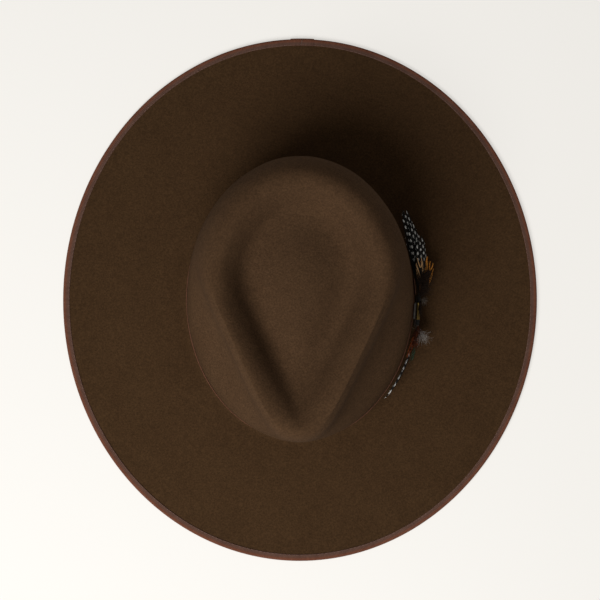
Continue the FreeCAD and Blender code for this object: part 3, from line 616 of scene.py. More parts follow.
def make_felt_body():
    """Crown and brim as one even thickness of felt, with the faint unevenness of blocked fur
    felt on its upper side."""
    profile = Profile(felt_rings(math.pi / 2 + turns_of(FELT_AROUND)))
    end, crest = profile.at[-1], profile.at[CREST_RING]
    places = np.linspace(0, end, int(end / FELT_STEP))[:-1]
    near_crest = np.arange(crest - CREST_NEAR, crest + CREST_NEAR, CREST_STEP)
    places = np.unique(np.concatenate([places, near_crest]).round(3))
    upper = profile.points(places)
    normals = grid_normals(upper)
    lower = upper - normals * FELT_THICKNESS
    brim_share = places / profile.at[len(BRIM_STATIONS) - 1]
    fade = smooth_step((brim_share - 0.08) / 0.12)[:, None]
    unevenness = sum(waviness(upper, *wave) for wave in FELT_WAVES)
    upper = upper + normals * (unevenness * fade)[:, :, None]
    upper[..., 2] += pressed_crest((places - crest)[:, None], upper)
    rim = (upper[:1] + lower[:1]) / 2
    rim[..., :2] *= 1.0008             # rounds the cut edge
    crown = CENTRE_LEVEL * UP
    body = Shape()
    body.add_closed(np.concatenate([lower[::-1], rim, upper]), crown - FELT_THICKNESS * UP,
                    crown)
    body.make("felt_crown_and_brim", HAT, felt, ["felt_body"])


# ------------------------------------------------------------------ binding on the brim edge
BINDING_WIDTH = 5.1
BINDING_THICKNESS = 0.55
BINDING_TOP = 3.7
BINDING_FOLD = 1.3                     # radius of the fold round the brim's edge
BINDING_AROUND = 1200
STITCH_PITCH = 3.2
STITCH_RADIUS = 0.2
BINDING_STITCH_INSET = 4.6
PUCKERED = (1.5, 5.4)                  # insets between which the stitches pucker the top leg
PUCKER_DEPTH, PRESSED_DEPTH = 0.05, 0.03
OVERLAP_SPREAD = 2.6                   # degrees of the oval that the ribbon's lapped end covers
OVERLAP_STATIONS = 36
OVERLAP_RISE, OVERLAP_THICKNESS, OVERLAP_LENGTH = 0.45, 0.4, 17
TACK_INSETS = (0.7, 1.9, 3.1, 4.3)
TACK_WAY = np.array([0.35, 0.94, 0.0])
TACK_LENGTH, TACK_RADIUS = 1.3, 0.34


def oval_perimeter(half_width, half_length):
    """Ramanujan's close value for an ellipse."""
    mean = (half_width - half_length) ** 2 / (half_width + half_length) ** 2
    return math.pi * (half_width + half_length) * (
        1 + 3 * mean / (10 + math.sqrt(4 - 3 * mean)))


def round_oval(half, count):
    """Angles of points that divide an oval's edge evenly, from the back, and the distance
    run at each and at the close."""
    fine = math.pi / 2 + TAU * np.linspace(0, 1, 4001)
    run = run_length(oval_ring(fine, 0, *half))
    angles = np.interp(np.arange(count) / count * run[-1], run, fine)
    return angles, oval_perimeter(*half) * np.arange(count + 1) / count


def swept_section(angles, half, section, pucker=0.0):
    """Rings for a closed cross-section, given as (inset from the oval, level) pairs. Only
    the top leg of a folded ribbon follows its stitches' pucker."""
    rings = []
    for inset, level in section:
        ring = oval_ring(angles, level, half[0] - inset, half[1] - inset)
        if level > BINDING_TOP - 0.2 and PUCKERED[0] < inset < PUCKERED[1]:
            ring[:, 2] += pucker
        rings.append(ring)
    return np.array(rings)


def binding_section(width, grow=0.0):
    """The folded ribbon's outline, from its top leg's inner edge round the fold and back."""
    thickness, fold, top = BINDING_THICKNESS, BINDING_FOLD, BINDING_TOP + grow
    bend = [(fold * (1 - math.sin(turn)), fold * (1 - math.cos(turn)))
            for turn in np.radians((30, 60))]
    return [(width, top - 0.12), (width - 0.15, top),
            *((width - step, top) for step in (1, 2, 3)), (fold, top),
            *((inset, top - drop) for inset, drop in bend),
            (-grow, top - fold), (-grow, fold), *reversed(bend),
            (fold, 0.0), (width - 1, 0.0), (width, 0.06), (width, thickness - 0.03),
            (width - 1, thickness), (0.9, thickness), (thickness, 0.9), (thickness, 2.8),
            (0.9, BINDING_TOP - thickness), (width - 1, BINDING_TOP - thickness),
            (width, BINDING_TOP - thickness)]


def add_stitch(shape, centre, direction, up, length, radius):
    """A short thread that dips into the cloth at both ends."""
    ways = np.array([-0.5, -0.42, -0.2, 0.0, 0.2, 0.42, 0.5]) * length
    dips = np.array([-1.0, -0.35, 0.25, 0.4, 0.25, -0.35, -1.0]) * radius
    radii = np.array([0.5, 0.9, 1, 1, 1, 0.9, 0.5]) * radius
    shape.add_rod(centre + ways[:, None] * direction + dips[:, None] * up, radii, across=up)


def ring_stitches(name, node, half, level, pitch, material, inside=False, zigzag=0.0):
    """A closed row of stitches along an oval, on top of the cloth or on its inside."""
    count = int(round(oval_perimeter(*half) / pitch))
    angles, _ = round_oval(half, count)
    centres = oval_ring(angles, level, *half)
    ways = unit(oval_ring(angles + 0.002, level, *half) - centres)
    upright = np.tile(UP, (count, 1))
    ups, side = (np.cross(UP, ways), upright) if inside else (upright, np.cross(ways, UP))
    slant = np.where(np.arange(count) % 2, zigzag, -zigzag)[:, None]
    shape = Shape()
    for centre, way, up in zip(centres, unit(ways + side * slant), ups):
        add_stitch(shape, centre, way, up, pitch * 0.74 * math.hypot(1, zigzag), STITCH_RADIUS)
    shape.make(name, HAT, material, [node])


def make_binding():
    """Grosgrain folded over the brim edge."""
    angles, run = round_oval(BRIM_HALF, BINDING_AROUND)
    pucker = PUCKER_DEPTH * np.cos(TAU * run[:-1] / STITCH_PITCH) - PRESSED_DEPTH
    section = binding_section(BINDING_WIDTH)
    rings = swept_section(angles, BRIM_HALF, section, pucker)
    mean_half = 190
    rings[:3, :, :2] *= (1 + waviness(rings[0], 0.12, 45) / mean_half)[None, :, None]
    ribbon = Shape()
    lengths = section_lengths(section)
    ribbon.add_grid(rings, run, lengths, closed_rows=True)
    bound = ribbon.make("brim_binding_ribbon", HAT, binding_ribbon, ["brim_binding"])


def make_binding_lap():
    """The ribbon's end, lapped over its start at the middle of the back."""
    angles = math.pi / 2 + np.radians(np.linspace(-OVERLAP_SPREAD, OVERLAP_SPREAD,
                                                  OVERLAP_STATIONS))
    top = binding_section(BINDING_WIDTH + 0.1, OVERLAP_RISE)[:10]
    section = top + [(inset + 0.12, level - OVERLAP_THICKNESS) for inset, level in reversed(top)]
    rings = swept_section(angles, BRIM_HALF, section)
    way = np.linspace(0, 1, OVERLAP_STATIONS)
    rings[..., 2] -= 0.3 * (1 - np.minimum(1, 8 * np.minimum(way, 1 - way)))
    middle = rings.mean(0)
    lap = Shape()
    lap.add_closed(rings.transpose(1, 0, 2), middle[0], middle[-1], section_lengths(section),
                   np.linspace(0, OVERLAP_LENGTH, OVERLAP_STATIONS + 1))
    lap.make("brim_binding_lap", HAT, binding_lap_ribbon, None)


def make_binding_tack():
    """The few close stitches that hold the lapped end down."""
    tack = Shape()
    for number, inset in enumerate(TACK_INSETS):
        angle = np.array([math.pi / 2 + math.radians(0.08 * number)])
        centre = oval_ring(angle, BINDING_TOP + 0.5, BRIM_HALF[0] - inset,
                           BRIM_HALF[1] - inset)[0]
        add_stitch(tack, centre, TACK_WAY, UP, TACK_LENGTH, TACK_RADIUS)
    tack.make("brim_binding_tack", HAT, binding_thread, None)


def make_binding_stitches():
    """The row of stitches along the binding's inner edge."""
    ring_stitches("binding_stitches", "binding_stitching",
                  [half - BINDING_STITCH_INSET for half in BRIM_HALF], BINDING_TOP + 0.02,
                  STITCH_PITCH, binding_thread)


# ------------------------------------------------------------------ ribbon round the crown
BAND_THICKNESS = 0.6
BAND_HALF = (87.2, 106.9)              # of its outer face
BAND_BOTTOM, BAND_TOP = 10.2, 38.0
BAND_AROUND = 560
BAND_CLEARANCE = 0.1                   # between the ribbon and the felt
BAND_FOLLOWS = 1.6                     # how far it can follow the pinches inwards
KEEPER_FROM, KEEPER_TO = 5.0, 17.0
KEEPER_CLEARANCE = 0.1
KEEPER_THICKNESS = 0.55
PLEATS = (0.34, 0.67)                  # places of its two pleats, as shares of its width
PLEAT_DEPTH, SIDE_ROLL, END_TUCK = 0.22, 0.42, 0.45


def ribbon_section(low, high, thickness, rows):
    """A flat upright ribbon's outline as (inset from its outer face, level) pairs, with a
    slightly thicker woven edge along its top and bottom."""
    levels = np.linspace(low, high, rows)
    from_edge = np.minimum(levels - low, high - levels)
    edge = 0.07 * bell(from_edge, 0.9) - 0.25 * thickness * (from_edge < 0.02)
    outer = [(-bulge, level) for bulge, level in zip(edge, levels)]
    return outer + [(thickness + bulge, level) for bulge, level in zip(edge, levels)][::-1]


def crown_reach(angles, levels):
    """How far out the crown's wall stands, by level and angle."""
    wall = Profile(felt_rings(angles))
    points = wall.points(np.linspace(wall.at[WALL_RING], wall.at[WALL_RING + 4], 60))
    reach = np.hypot(points[..., 0], points[..., 1])
    return np.array([np.interp(levels, points[:, column, 2], reach[:, column])
                     for column in range(len(angles))]).T


def make_band():
    """The crown ribbon, which follows the pinched crown a little way inwards."""
    angles, run = round_oval(BAND_HALF, BAND_AROUND)
    section = ribbon_section(BAND_BOTTOM, BAND_TOP, BAND_THICKNESS, 20)
    rings = swept_section(angles, BAND_HALF, section)
    reach = np.hypot(rings[..., 0], rings[..., 1])
    gap = reach[-1] - BAND_CLEARANCE - crown_reach(angles, [level for _, level in section])
    rings[..., :2] *= (1 - np.clip(gap, 0, BAND_FOLLOWS) / reach)[..., None]
    rings += waviness(rings, 0.09, 27)[..., None] * outward(rings[0])
    rings[..., 2] += waviness(rings[0], 0.12, 60, 1.0)
    ribbon = Shape()
    ribbon.add_grid(rings, run, section_lengths(section), closed_rows=True)
    band = ribbon.make("hatband_ribbon", HAT, band_ribbon, ["hatband"])


def make_band_keeper():
    """The pleated piece of ribbon folded over the band's join."""
    half_width, half_length = (half + BAND_THICKNESS + KEEPER_CLEARANCE for half in BAND_HALF)
    across = np.linspace(KEEPER_FROM, KEEPER_TO, 33)
    levels = np.linspace(BAND_BOTTOM - 0.1, BAND_TOP + 0.2, 29)
    share = (across - KEEPER_FROM) / (KEEPER_TO - KEEPER_FROM)
    pleats = PLEAT_DEPTH * sum(bell(share - pleat, 0.05) for pleat in PLEATS)
    roll = SIDE_ROLL * np.abs(2 * share - 1) ** 10
    tuck = END_TUCK * np.abs(np.linspace(-1, 1, len(levels)))[:, None] ** 14
    reach = half_width * np.sqrt(1 - (across / half_length) ** 2)
    faces = []
    for inset, folds in ((0.0, 1.0), (KEEPER_THICKNESS, 0.3)):
        out = reach - inset - folds * (pleats + roll) - (1 - inset) * tuck
        faces.append(np.stack(np.broadcast_arrays(out, across, levels[:, None]), -1))
    keeper = Shape()
    keeper.add_sheet(*faces, levels)
    keeper.make("band_keeper_fold", HAT, keeper_ribbon, ["band_keeper"])


# ------------------------------------------------------------------ sweatband and lining
SWEAT_OUTSIDE = (82.7, 102.3)
SWEAT_LEAN = 4.1
SWEAT_THICKNESS = 1.2
SWEAT_BOTTOM, SWEAT_TOP = 7.0, 44.0
SWEAT_AROUND = 420
SWEAT_GROOVES = (SWEAT_TOP - 3.2, SWEAT_BOTTOM + 4.4)  # levels of the two pressed lines
GROOVE_DEPTH = 0.16
SWEAT_STITCH_LEVEL, SWEAT_STITCH_PITCH, SWEAT_ZIGZAG = 9.0, 3.4, 0.32
WELT_HALF = (84.1, 103.8)
WELT_LEVEL = 6.2
WELT_RADIUS = 1.25
WELT_AROUND, WELT_SIDES = 720, 16
WELT_RIB_PITCH, WELT_RIB_SHARE = 2.4, 0.035
TAPE_WIDTH = 14.0
BOW_LEVEL, BOW_STAND_OFF = 17.0, 2.4
BOW_RIBBON, KNOT_RIBBON = 0.35, 0.4    # thicknesses
LOOP_LENGTH, TAIL_LENGTH = 10.8, 6.0


def sweat_inset(level):
    """How far the leather has leant in at a level."""
    return SWEAT_LEAN * (level - SWEAT_BOTTOM) / (SWEAT_TOP - SWEAT_BOTTOM)


def make_sweatband():
    """The leather band with pressed lines near both edges and a soft rolled top."""
    angles, run = round_oval(SWEAT_OUTSIDE, SWEAT_AROUND)
    levels = np.linspace(SWEAT_BOTTOM, SWEAT_TOP, 38)
    thin = 0.5 * bell(np.minimum(levels - SWEAT_BOTTOM, SWEAT_TOP - levels), 0.45)
    groove = GROOVE_DEPTH * sum(bell(levels - line, 0.35) for line in SWEAT_GROOVES)
    lean = sweat_inset(levels)
    outer = list(zip(lean + thin * 0.4, levels))
    section = outer + list(zip(lean + SWEAT_THICKNESS - thin - groove, levels))[::-1]
    rings = swept_section(angles, SWEAT_OUTSIDE, section)
    soft = waviness(rings, 0.07, 30, 3.0) + waviness(rings, 0.04, 9, 1.0)
    rings += soft[..., None] * outward(rings[0])
    band = Shape()
    band.add_grid(rings, run, section_lengths(section), closed_rows=True)
    band.make("sweatband_leather", HAT, sweat_leather, ["sweatband"])

    inset = SWEAT_THICKNESS + sweat_inset(SWEAT_STITCH_LEVEL) + 0.05
    ring_stitches("sweatband_stitches", "sweatband_stitching",
                  [half - inset for half in SWEAT_OUTSIDE], SWEAT_STITCH_LEVEL,
                  SWEAT_STITCH_PITCH, pale_thread, inside=True, zigzag=SWEAT_ZIGZAG)


def make_welt():
    """The welt: a ribbed casing sewn round the reed where leather meets felt."""
    angles, run = round_oval(WELT_HALF, WELT_AROUND)
    ribs = WELT_RIB_SHARE * np.cos(TAU * run[:-1] / WELT_RIB_PITCH)[:, None]
    radius = 0.98 * WELT_RADIUS * (1 + ribs)
    line = oval_ring(angles, WELT_LEVEL, *WELT_HALF)
    away = unit(line * (1, 1, 0))
    rings = [line + radius * (math.cos(turn) * away + math.sin(turn) * UP)
             for turn in turns_of(WELT_SIDES)]
    welt = Shape()
    welt.add_grid(np.array(rings), run, np.linspace(0, TAU * WELT_RADIUS, WELT_SIDES + 1),
                  closed_rows=True)
    welt.make("sweatband_welt_casing", HAT, welt_ribbon, ["sweatband_welt"])


def make_seam_tape():
    """A short ribbed tape over the leather's back seam."""
    across = np.linspace(-TAPE_WIDTH / 2, TAPE_WIDTH / 2, 29)
    levels = np.linspace(SWEAT_BOTTOM + 3.0, SWEAT_TOP, 47)
    faces = []
    for inset, thinner_edge in ((0.1, 0.0), (0.5, 0.22)):
        edge = thinner_edge * (np.abs(across) > TAPE_WIDTH / 2 - 0.1)
        half_width, half_length = (half - SWEAT_THICKNESS - inset - sweat_inset(levels)[:, None]
                                   for half in SWEAT_OUTSIDE)
        along = half_length * np.sqrt(1 - (across / half_width) ** 2) + edge
        faces.append(np.stack(np.broadcast_arrays(across, along, levels[:, None]), -1))
    faces[1][..., 1] += waviness(faces[1], 0.04, 6)
    tape = Shape()
    tape.add_sheet(*faces, levels)
    tape.make("sweatband_seam_ribbon", HAT, tape_ribbon, ["sweatband_seam_tape"])


# half of a thin strip's rounded outline, in half widths and half thicknesses
STRIP_SIDE = ((-1, 0.6), (-0.96, 1), (-0.5, 1), (0, 1), (0.5, 1), (0.96, 1), (1, 0.6))


def ribbon_strip(shape, line, width, thickness, width_way):
    """A flat closed strip along a line, `width_way` giving the way its width lies."""
    tangents = unit(np.gradient(line, axis=0))
    ways = np.broadcast_to(np.array(width_way, float), line.shape)
    ways = unit(ways - (ways * tangents).sum(1, keepdims=True) * tangents)
    faces = np.cross(tangents, ways)
    outline = STRIP_SIDE + tuple((-across, -out) for across, out in STRIP_SIDE)
    half = np.broadcast_to(width, len(line))[:, None] / 2
    rings = np.stack([line + ways * (across * half) + faces * (out * thickness / 2)
                      for across, out in outline], 1)
    run = run_length(line)
    shape.add_closed(rings, line[0], line[-1],
                     np.linspace(0, 2 * float(np.max(width)), len(outline) + 1),
                     np.append(run, run[-1] + 0.5))


def make_sweatband_bow():
    """The little ribbon bow on the back seam: two loops, two tails and a knot."""
    back = SWEAT_OUTSIDE[1] - SWEAT_THICKNESS - sweat_inset(BOW_LEVEL) - BOW_STAND_OFF
    knot = np.array([0.0, back, BOW_LEVEL])
    bow = Shape()
    turn = np.linspace(0.0, TAU, 40)
    way = np.linspace(0, 1, 18)
    for side in (1, -1):
        loop = np.stack([side * (1.2 + LOOP_LENGTH * (1 - np.cos(turn)) / 2),
                         -0.75 * np.sin(turn) + 0.3 * np.abs(np.sin(turn / 2)),
                         1.76 * np.sin(turn / 2) ** 2 + 0.25 * np.sin(turn)], -1)
        width = 4.6 - 2.2 * np.cos(turn / 2) ** 6
        ribbon_strip(bow, knot + loop, width, BOW_RIBBON, (0.12 * side, 0, 1))
        tail = np.stack([side * (0.4 + TAIL_LENGTH * way), -0.3 + 0.8 * way * (1 - way),
                         -1.0 - 4.6 * way ** 1.1], -1)
        ribbon_strip(bow, knot + tail, 2.2 + 1.4 * way, BOW_RIBBON, (1.0, 0, 0.9 * side))
    turn = np.linspace(0, TAU, 25)
    wrap = np.stack([0 * turn, -1.25 * np.cos(turn) + 0.25, 2.0 * np.sin(turn)], -1)
    ribbon_strip(bow, knot + wrap, 2.8, KNOT_RIBBON, (1, 0, 0))
    bow.make("sweatband_bow_ribbon", HAT, tape_ribbon, ["sweatband_bow"])


LINING_RINGS = (WALL_RING + 1, WALL_RING + 5)          # the felt rings that its side spans
LINING_GAP = 0.6
LINING_THICKNESS = 0.45
LINING_AROUND = 360
SIDE_ROWS = 34
GATHERS, GATHER_DEPTH = 38, 0.144      # how many round the side, and how deep at its top
TIP_GAP = 0.3
TIP_LEVEL = 74.6
TIP_DOME = 4.0
TIP_ROWS = 44
TIP_REACH = 90                         # mm from its edge to its middle, for the weave
TIP_PUCKERS, TIP_PUCKER_DEPTH = 64, 0.272
PIPING_RADIUS, PIPING_GIRTH = 0.42, 2.6

lining_angles = math.pi / 2 + turns_of(LINING_AROUND)
lining_run = oval_perimeter(82.0, 102.5) * np.arange(LINING_AROUND + 1) / LINING_AROUND


def lining_wall():
    """The felt's upper side where the lining lies, its normals and its rows' places."""
    profile = Profile(felt_rings(lining_angles))
    places = np.linspace(*profile.at[list(LINING_RINGS)], SIDE_ROWS)
    wall = profile.points(places)
    return wall, grid_normals(wall), places


def make_lining_side():
    """Satin round the inside of the crown, with soft gathers towards its top."""
    wall, normals, places = lining_wall()
    gathers = GATHER_DEPTH * np.sin(GATHERS * lining_angles + 1.5 * np.sin(3 * lining_angles)) \
        * (0.35 + 0.65 * np.linspace(0, 1, SIDE_ROWS)[:, None] ** 2)
    outer = wall - normals * (FELT_THICKNESS + LINING_GAP - gathers[..., None])
    inner = outer - normals * LINING_THICKNESS
    side = Shape()
    side.add_grid(np.concatenate([outer, inner[::-1]]), lining_run,
                  np.concatenate([places, places[::-1], places[:1]]), closed_rows=True)
    piece = side.make("lining_side_satin", HAT, lining_satin, ["lining_side"])


def lining_border():
    """The line where the lining's side and tip are sewn together."""
    wall, normals, _ = lining_wall()
    return wall[-1] - normals[-1] * (FELT_THICKNESS + LINING_GAP + LINING_THICKNESS + TIP_GAP)


def make_lining_tip():
    """The domed oval of satin at the top, puckered where it is sewn in."""
    border = lining_border()
    shares = 1 - np.linspace(0, 0.985, TIP_ROWS) ** 1.15
    pucker = TIP_PUCKER_DEPTH * (shares ** 14)[:, None] \
        * np.sin(TIP_PUCKERS * lining_angles + 2 * np.sin(5 * lining_angles))
    faces = []
    for drop in (0.0, LINING_THICKNESS):
        rings = border * shares[:, None, None]
        dome = TIP_LEVEL - drop + TIP_DOME * (1 - shares ** 2)
        rings[..., 2] = dome[:, None] + pucker + waviness(rings, 0.25, 55)
        faces.append(rings)
    radial = (1 - shares) * TIP_REACH
    tip = Shape()
    tip.add_closed(np.concatenate([faces[0][::-1], faces[1]]),
                   faces[0][-1][:, 2].mean() * UP, faces[1][-1][:, 2].mean() * UP,
                   lining_run, np.concatenate([radial[::-1], radial, [100.0]]))
    piece = tip.make("lining_tip_satin", HAT, lining_satin, ["lining_tip"])


def make_lining_piping():
    """The covered cord along the seam between the lining's side and tip."""
    seam = lining_border() * 1.002
    seam[:, 2] = TIP_LEVEL - 0.45
    ahead = unit(np.roll(seam, -1, axis=0) - np.roll(seam, 1, axis=0))
    side_way = np.cross(ahead, UP)
    sides = 8
    rings = [seam + PIPING_RADIUS * (math.cos(turn) * side_way + math.sin(turn) * UP)
             for turn in turns_of(sides)]
    cord = Shape()
    cord.add_grid(np.array(rings), lining_run, np.linspace(0, PIPING_GIRTH, sides + 1),
                  closed_rows=True)
    cord.make("lining_piping", HAT, lining_satin, None)


# ------------------------------------------------------------------ the feather ornament
# Its own axes, as in the CAD: x out from the crown, y towards the back, z up.
ORNAMENT_AT = np.array([89.95, -7.6, 25.0])
FACING = math.atan2(ORNAMENT_AT[1] / BAND_HALF[1] ** 2, ORNAMENT_AT[0] / BAND_HALF[0] ** 2)
QUILL_PITCH = 0.9
HALF_ROW = QUILL_PITCH * math.sqrt(3) / 2
QUILL_PLACES = ((-QUILL_PITCH, 0), (-QUILL_PITCH / 2, HALF_ROW), (-QUILL_PITCH / 2, -HALF_ROW),
                (0, 0), (QUILL_PITCH / 2, HALF_ROW), (QUILL_PITCH / 2, -HALF_ROW),
                (QUILL_PITCH, 0))
QUILL_START, STRAIGHT_END, VANE_START, FAN_END = 0.8, 11.0, 16.0, 20.0
LAYER_PITCH, LAYER_SPREAD = 0.9, 0.6 / 56
BACK_CURL, CURL_POWER = 9.0 / 65 ** 2.1, 2.1
BAND_STAND_OFF = 2.6
ROLL = {1: math.radians(42), -1: math.radians(24)}
VANE_SHARES = (0, 0.14, 0.36, 0.62, 0.84, 0.95, 1)
VANE_BREADTHS = (0.12, 0.55, 0.9, 1, 0.78, 0.45, 0.12)
BLUNT_BREADTHS = (0.12, 0.6, 0.95, 1.08, 1.05, 0.85, 0.5)   # of the guinea vanes' lower side
BARB_STATIONS = 7
BARB_THICKNESS = 0.13
SHAFT_REACHES, SHAFT_RADII = (QUILL_START, 12, 20), (0.34, 0.34, 0.3)
SHAFT_TIP_RADIUS = 0.09
STRAND_STATIONS = 11


def to_world(points):
    """Ornament points to hat points."""
    points = np.asarray(points, float)
    x, y, z = points[..., 0], points[..., 1], points[..., 2]
    cosine, sine = math.cos(FACING), math.sin(FACING)
    return np.stack([x * cosine - y * sine, x * sine + y * cosine, z], -1) + ORNAMENT_AT


def band_face(along):
    """Where the band's outer face lies, at a distance along the ornament's own y."""
    start = to_world([0.0, along, 0.0])[:2] / BAND_HALF
    out = np.array([math.cos(FACING), math.sin(FACING)]) / BAND_HALF
    a, b, c = out @ out, start @ out, start @ start - 1
    return (-b + math.sqrt(b * b - a * c)) / a


class Spine:
    """A feather's shaft, as in the CAD: out of the bore, fanned out, then curled."""

    def __init__(self, end, place, tip_reach, tip_across):
        self.end, self.place = end, place
        self.tip_reach, self.tip_across = tip_reach, tip_across
        self.roll = ROLL[end]

    def layer(self, reach):
        """The layer that the fanned-out feather keeps to, and how far the whole fan has
        followed the crown inwards."""
        if self.end > 0:
            curl = BACK_CURL * max(reach - STRAIGHT_END, 0) ** CURL_POWER
            return self.place * (LAYER_PITCH + LAYER_SPREAD * (reach - FAN_END)) - curl, 0.0
        return LAYER_PITCH * self.place, band_face(-reach) + BAND_STAND_OFF

    def point(self, reach):
        """The shaft's middle at a distance from the ferrule's own."""
        layer, quill_across = QUILL_PLACES[self.place]
        fanned = float(smooth_step((reach - STRAIGHT_END) / (FAN_END - STRAIGHT_END)))
        inward = 0.0
        if fanned:
            fan_layer, fan_inward = self.layer(reach)
            layer += (fan_layer - layer) * fanned
            inward = fan_inward * fanned
        spread = max(reach - STRAIGHT_END, 0) / (self.tip_reach - STRAIGHT_END)
        across = quill_across + (self.tip_across - quill_across) * spread ** 1.3
        cosine, sine = math.cos(self.roll), math.sin(self.roll)
        return np.array([inward + layer * cosine - across * sine, self.end * reach,
                         layer * sine + across * cosine])

    def axes(self, reach):
        """Across the vane, and out of its face."""
        along = unit(self.point(reach + 0.1) - self.point(reach - 0.1))
        up = np.array([-math.sin(self.roll), 0, math.cos(self.roll)])
        across = unit(up - along * (up @ along))
        return across, np.cross(along, across)


def add_barb(shape, spine, offset, root, tip, width, camber, droop):
    """One barb: a thin three-sided blade from the shaft to the vane's edge, which lies at
    an offset from the shaft, less than none on the lower side."""
    shares = np.linspace(0, 1, BARB_STATIONS)
    reaches = root + (tip - root) * shares ** 1.2
    offsets = offset * shares ** 0.92
    lifts = droop * np.sin(3.1 * shares) - camber * shares ** 2
    points = []
    for reach, aside, lift in zip(np.minimum(reaches, spine.tip_reach - 0.05), offsets, lifts):
        across, face = spine.axes(reach)
        points.append(spine.point(reach) + across * aside + face * lift)
    points = to_world(points)
    face = to_world(spine.axes((root + tip) / 2)[1]) - ORNAMENT_AT
    flat = unit(np.cross(unit(np.gradient(points, axis=0)), face))
    half = flat * (width * (1 - 0.65 * shares ** 2))[:, None] / 2
    rings = np.stack([points - half, points + half, points + face * BARB_THICKNESS], 1)

    index = shape.count + np.arange(BARB_STATIONS * 3).reshape(-1, 3)
    uv = np.stack([offsets, reaches], -1)
    shape.points.append(rings.reshape(-1, 3))
    shape.count += index.size
    for column in range(3):
        ahead = (column + 1) % 3
        shape.quads.append(np.stack([index[:-1, column], index[:-1, ahead],
                                     index[1:, ahead], index[1:, column]], -1))
        shape.quad_uvs.append(np.stack([uv[:-1], uv[:-1], uv[1:], uv[1:]], 1))
    shape.triangles.append(np.array([index[0, [0, 2, 1]], index[-1]]))
    shape.triangle_uvs.append(np.stack([uv[[0, 0, 0]], uv[[-1, -1, -1]]]))


def make_feather(name, node, slot, spine, width, finish, shaft_finish, pitch=0.42, angle=38,
                 barb_width=0.62, clump=10, split=0.7, loose=0.1, start=VANE_START,
                 blunt=False, breadth=1.0):
    """A shaft and two vanes of barbs that hold together in clumps and part between them."""
    length = spine.tip_reach - VANE_START
    vane = Shape()
    for side in (1, -1):
        outline = BLUNT_BREADTHS if blunt and side < 0 else VANE_BREADTHS
        tip = start + 0.8
        clump_left, shift = 0, 0.0
        while tip < spine.tip_reach:
            if clump_left == 0:
                clump_left = int(rng.integers(max(clump // 2, 1), clump + 3))
                shift = float(rng.uniform(-split, split))
            clump_left -= 1
            half_width = breadth * width / 2 * float(
                np.interp((tip - VANE_START) / length, VANE_SHARES, outline))
            half_width *= 1 + float(rng.normal(0, 0.035))
            root = max(tip - half_width / math.tan(math.radians(angle)), start - 1.5)
            end_at = min(tip + shift + float(rng.normal(0, 0.06)), spine.tip_reach + 0.4)
            add_barb(vane, spine, side * half_width, root, end_at, barb_width,
                     0.15 * half_width, float(rng.normal(0, loose)))
            tip += pitch
    vane.make(name, ORNAMENT_BODY, finish, [node])

    shaft = Shape()
    reaches = np.linspace(QUILL_START, spine.tip_reach - 0.4, 40)
    radii = np.interp(reaches, (*SHAFT_REACHES, spine.tip_reach),
                      (*SHAFT_RADII, SHAFT_TIP_RADIUS))
    shaft.add_rod(to_world([spine.point(reach) for reach in reaches]), radii, sides=8)
    shaft.make(name + "_shaft", ORNAMENT_BODY, shaft_finish, None)


def add_strand(shape, start, direction, length, radius, curl):
    """One curling strand of down, in the ornament's axes."""
    direction = unit(direction)
    point, points = start, []
    bend = rng.normal(0, curl, 3)
    for _ in range(STRAND_STATIONS):
        points.append(point)
        point = point + direction * length / STRAND_STATIONS
        direction = unit(direction + bend / STRAND_STATIONS + rng.normal(0, curl * 0.22, 3))
    shape.add_rod(to_world(points), radius * np.linspace(1.0, 0.35, STRAND_STATIONS), sides=4)


def make_tuft(name, node, finish, roots, count, cone, spread, lengths, radius, curl,
              stem=None):
    """A tuft of down: strands that leave one or more roots in a cone of directions."""
    tuft = Shape()
    cone = unit(np.array(cone, float))
    for number in range(count):
        direction = cone + rng.normal(0, spread, 3)
        start = roots[number % len(roots)] + rng.normal(0, 0.35, 3)
        add_strand(tuft, start, direction, float(rng.uniform(*lengths)), radius, curl)
    if stem:
        tuft.add_rod(to_world(stem), 0.3)
    tuft.make(name, ORNAMENT_BODY, finish, [node] if node else None)


# Feathers by CAD node, as in the CAD: which end of the ferrule (1 back, -1 front), place in
# the bore, how far the tip reaches, how far across it ends, the vane's width, then the kind
# of barbs, their slot and their finish.
FEATHERS = {
    "guinea_feather_long": (1, 0, 76.0, 14.0, 13.0, "guinea", "guinea", "dots"),
    "guinea_feather_middle": (1, 1, 67.0, 10.0, 13.0, "guinea", "guinea", "dots"),
    "pheasant_feather_lower": (1, 2, 47.0, -4.0, 10.0, "pheasant", "pheasant", "golden"),
    "guinea_feather_short": (1, 3, 58.0, 4.0, 13.0, "guinea", "guinea", "dots"),
    "pheasant_feather_upper": (1, 4, 42.0, 6.0, 10.0, "pheasant", "pheasant", "tan"),
    "pheasant_feather_outer": (1, 5, 38.0, -8.0, 10.0, "pheasant", "pheasant", "golden"),
    "dark_hackle_back": (1, 6, 29.0, -3.0, 7.0, "dark", "hackle_dark", "dark"),
    "guinea_feather_front": (-1, 0, 68.0, 0.0, 8.0, "slim", "guinea", "dashes"),
    "rust_hackle_long": (-1, 1, 36.0, 5.0, 7.0, "rust", "hackle_rust", "rust"),
    "rust_hackle_short": (-1, 2, 30.0, -3.0, 7.0, "rust", "hackle_rust", "rust"),
    "green_feather": (-1, 3, 40.0, -1.0, 7.0, "green", "green_feather", "green"),
}
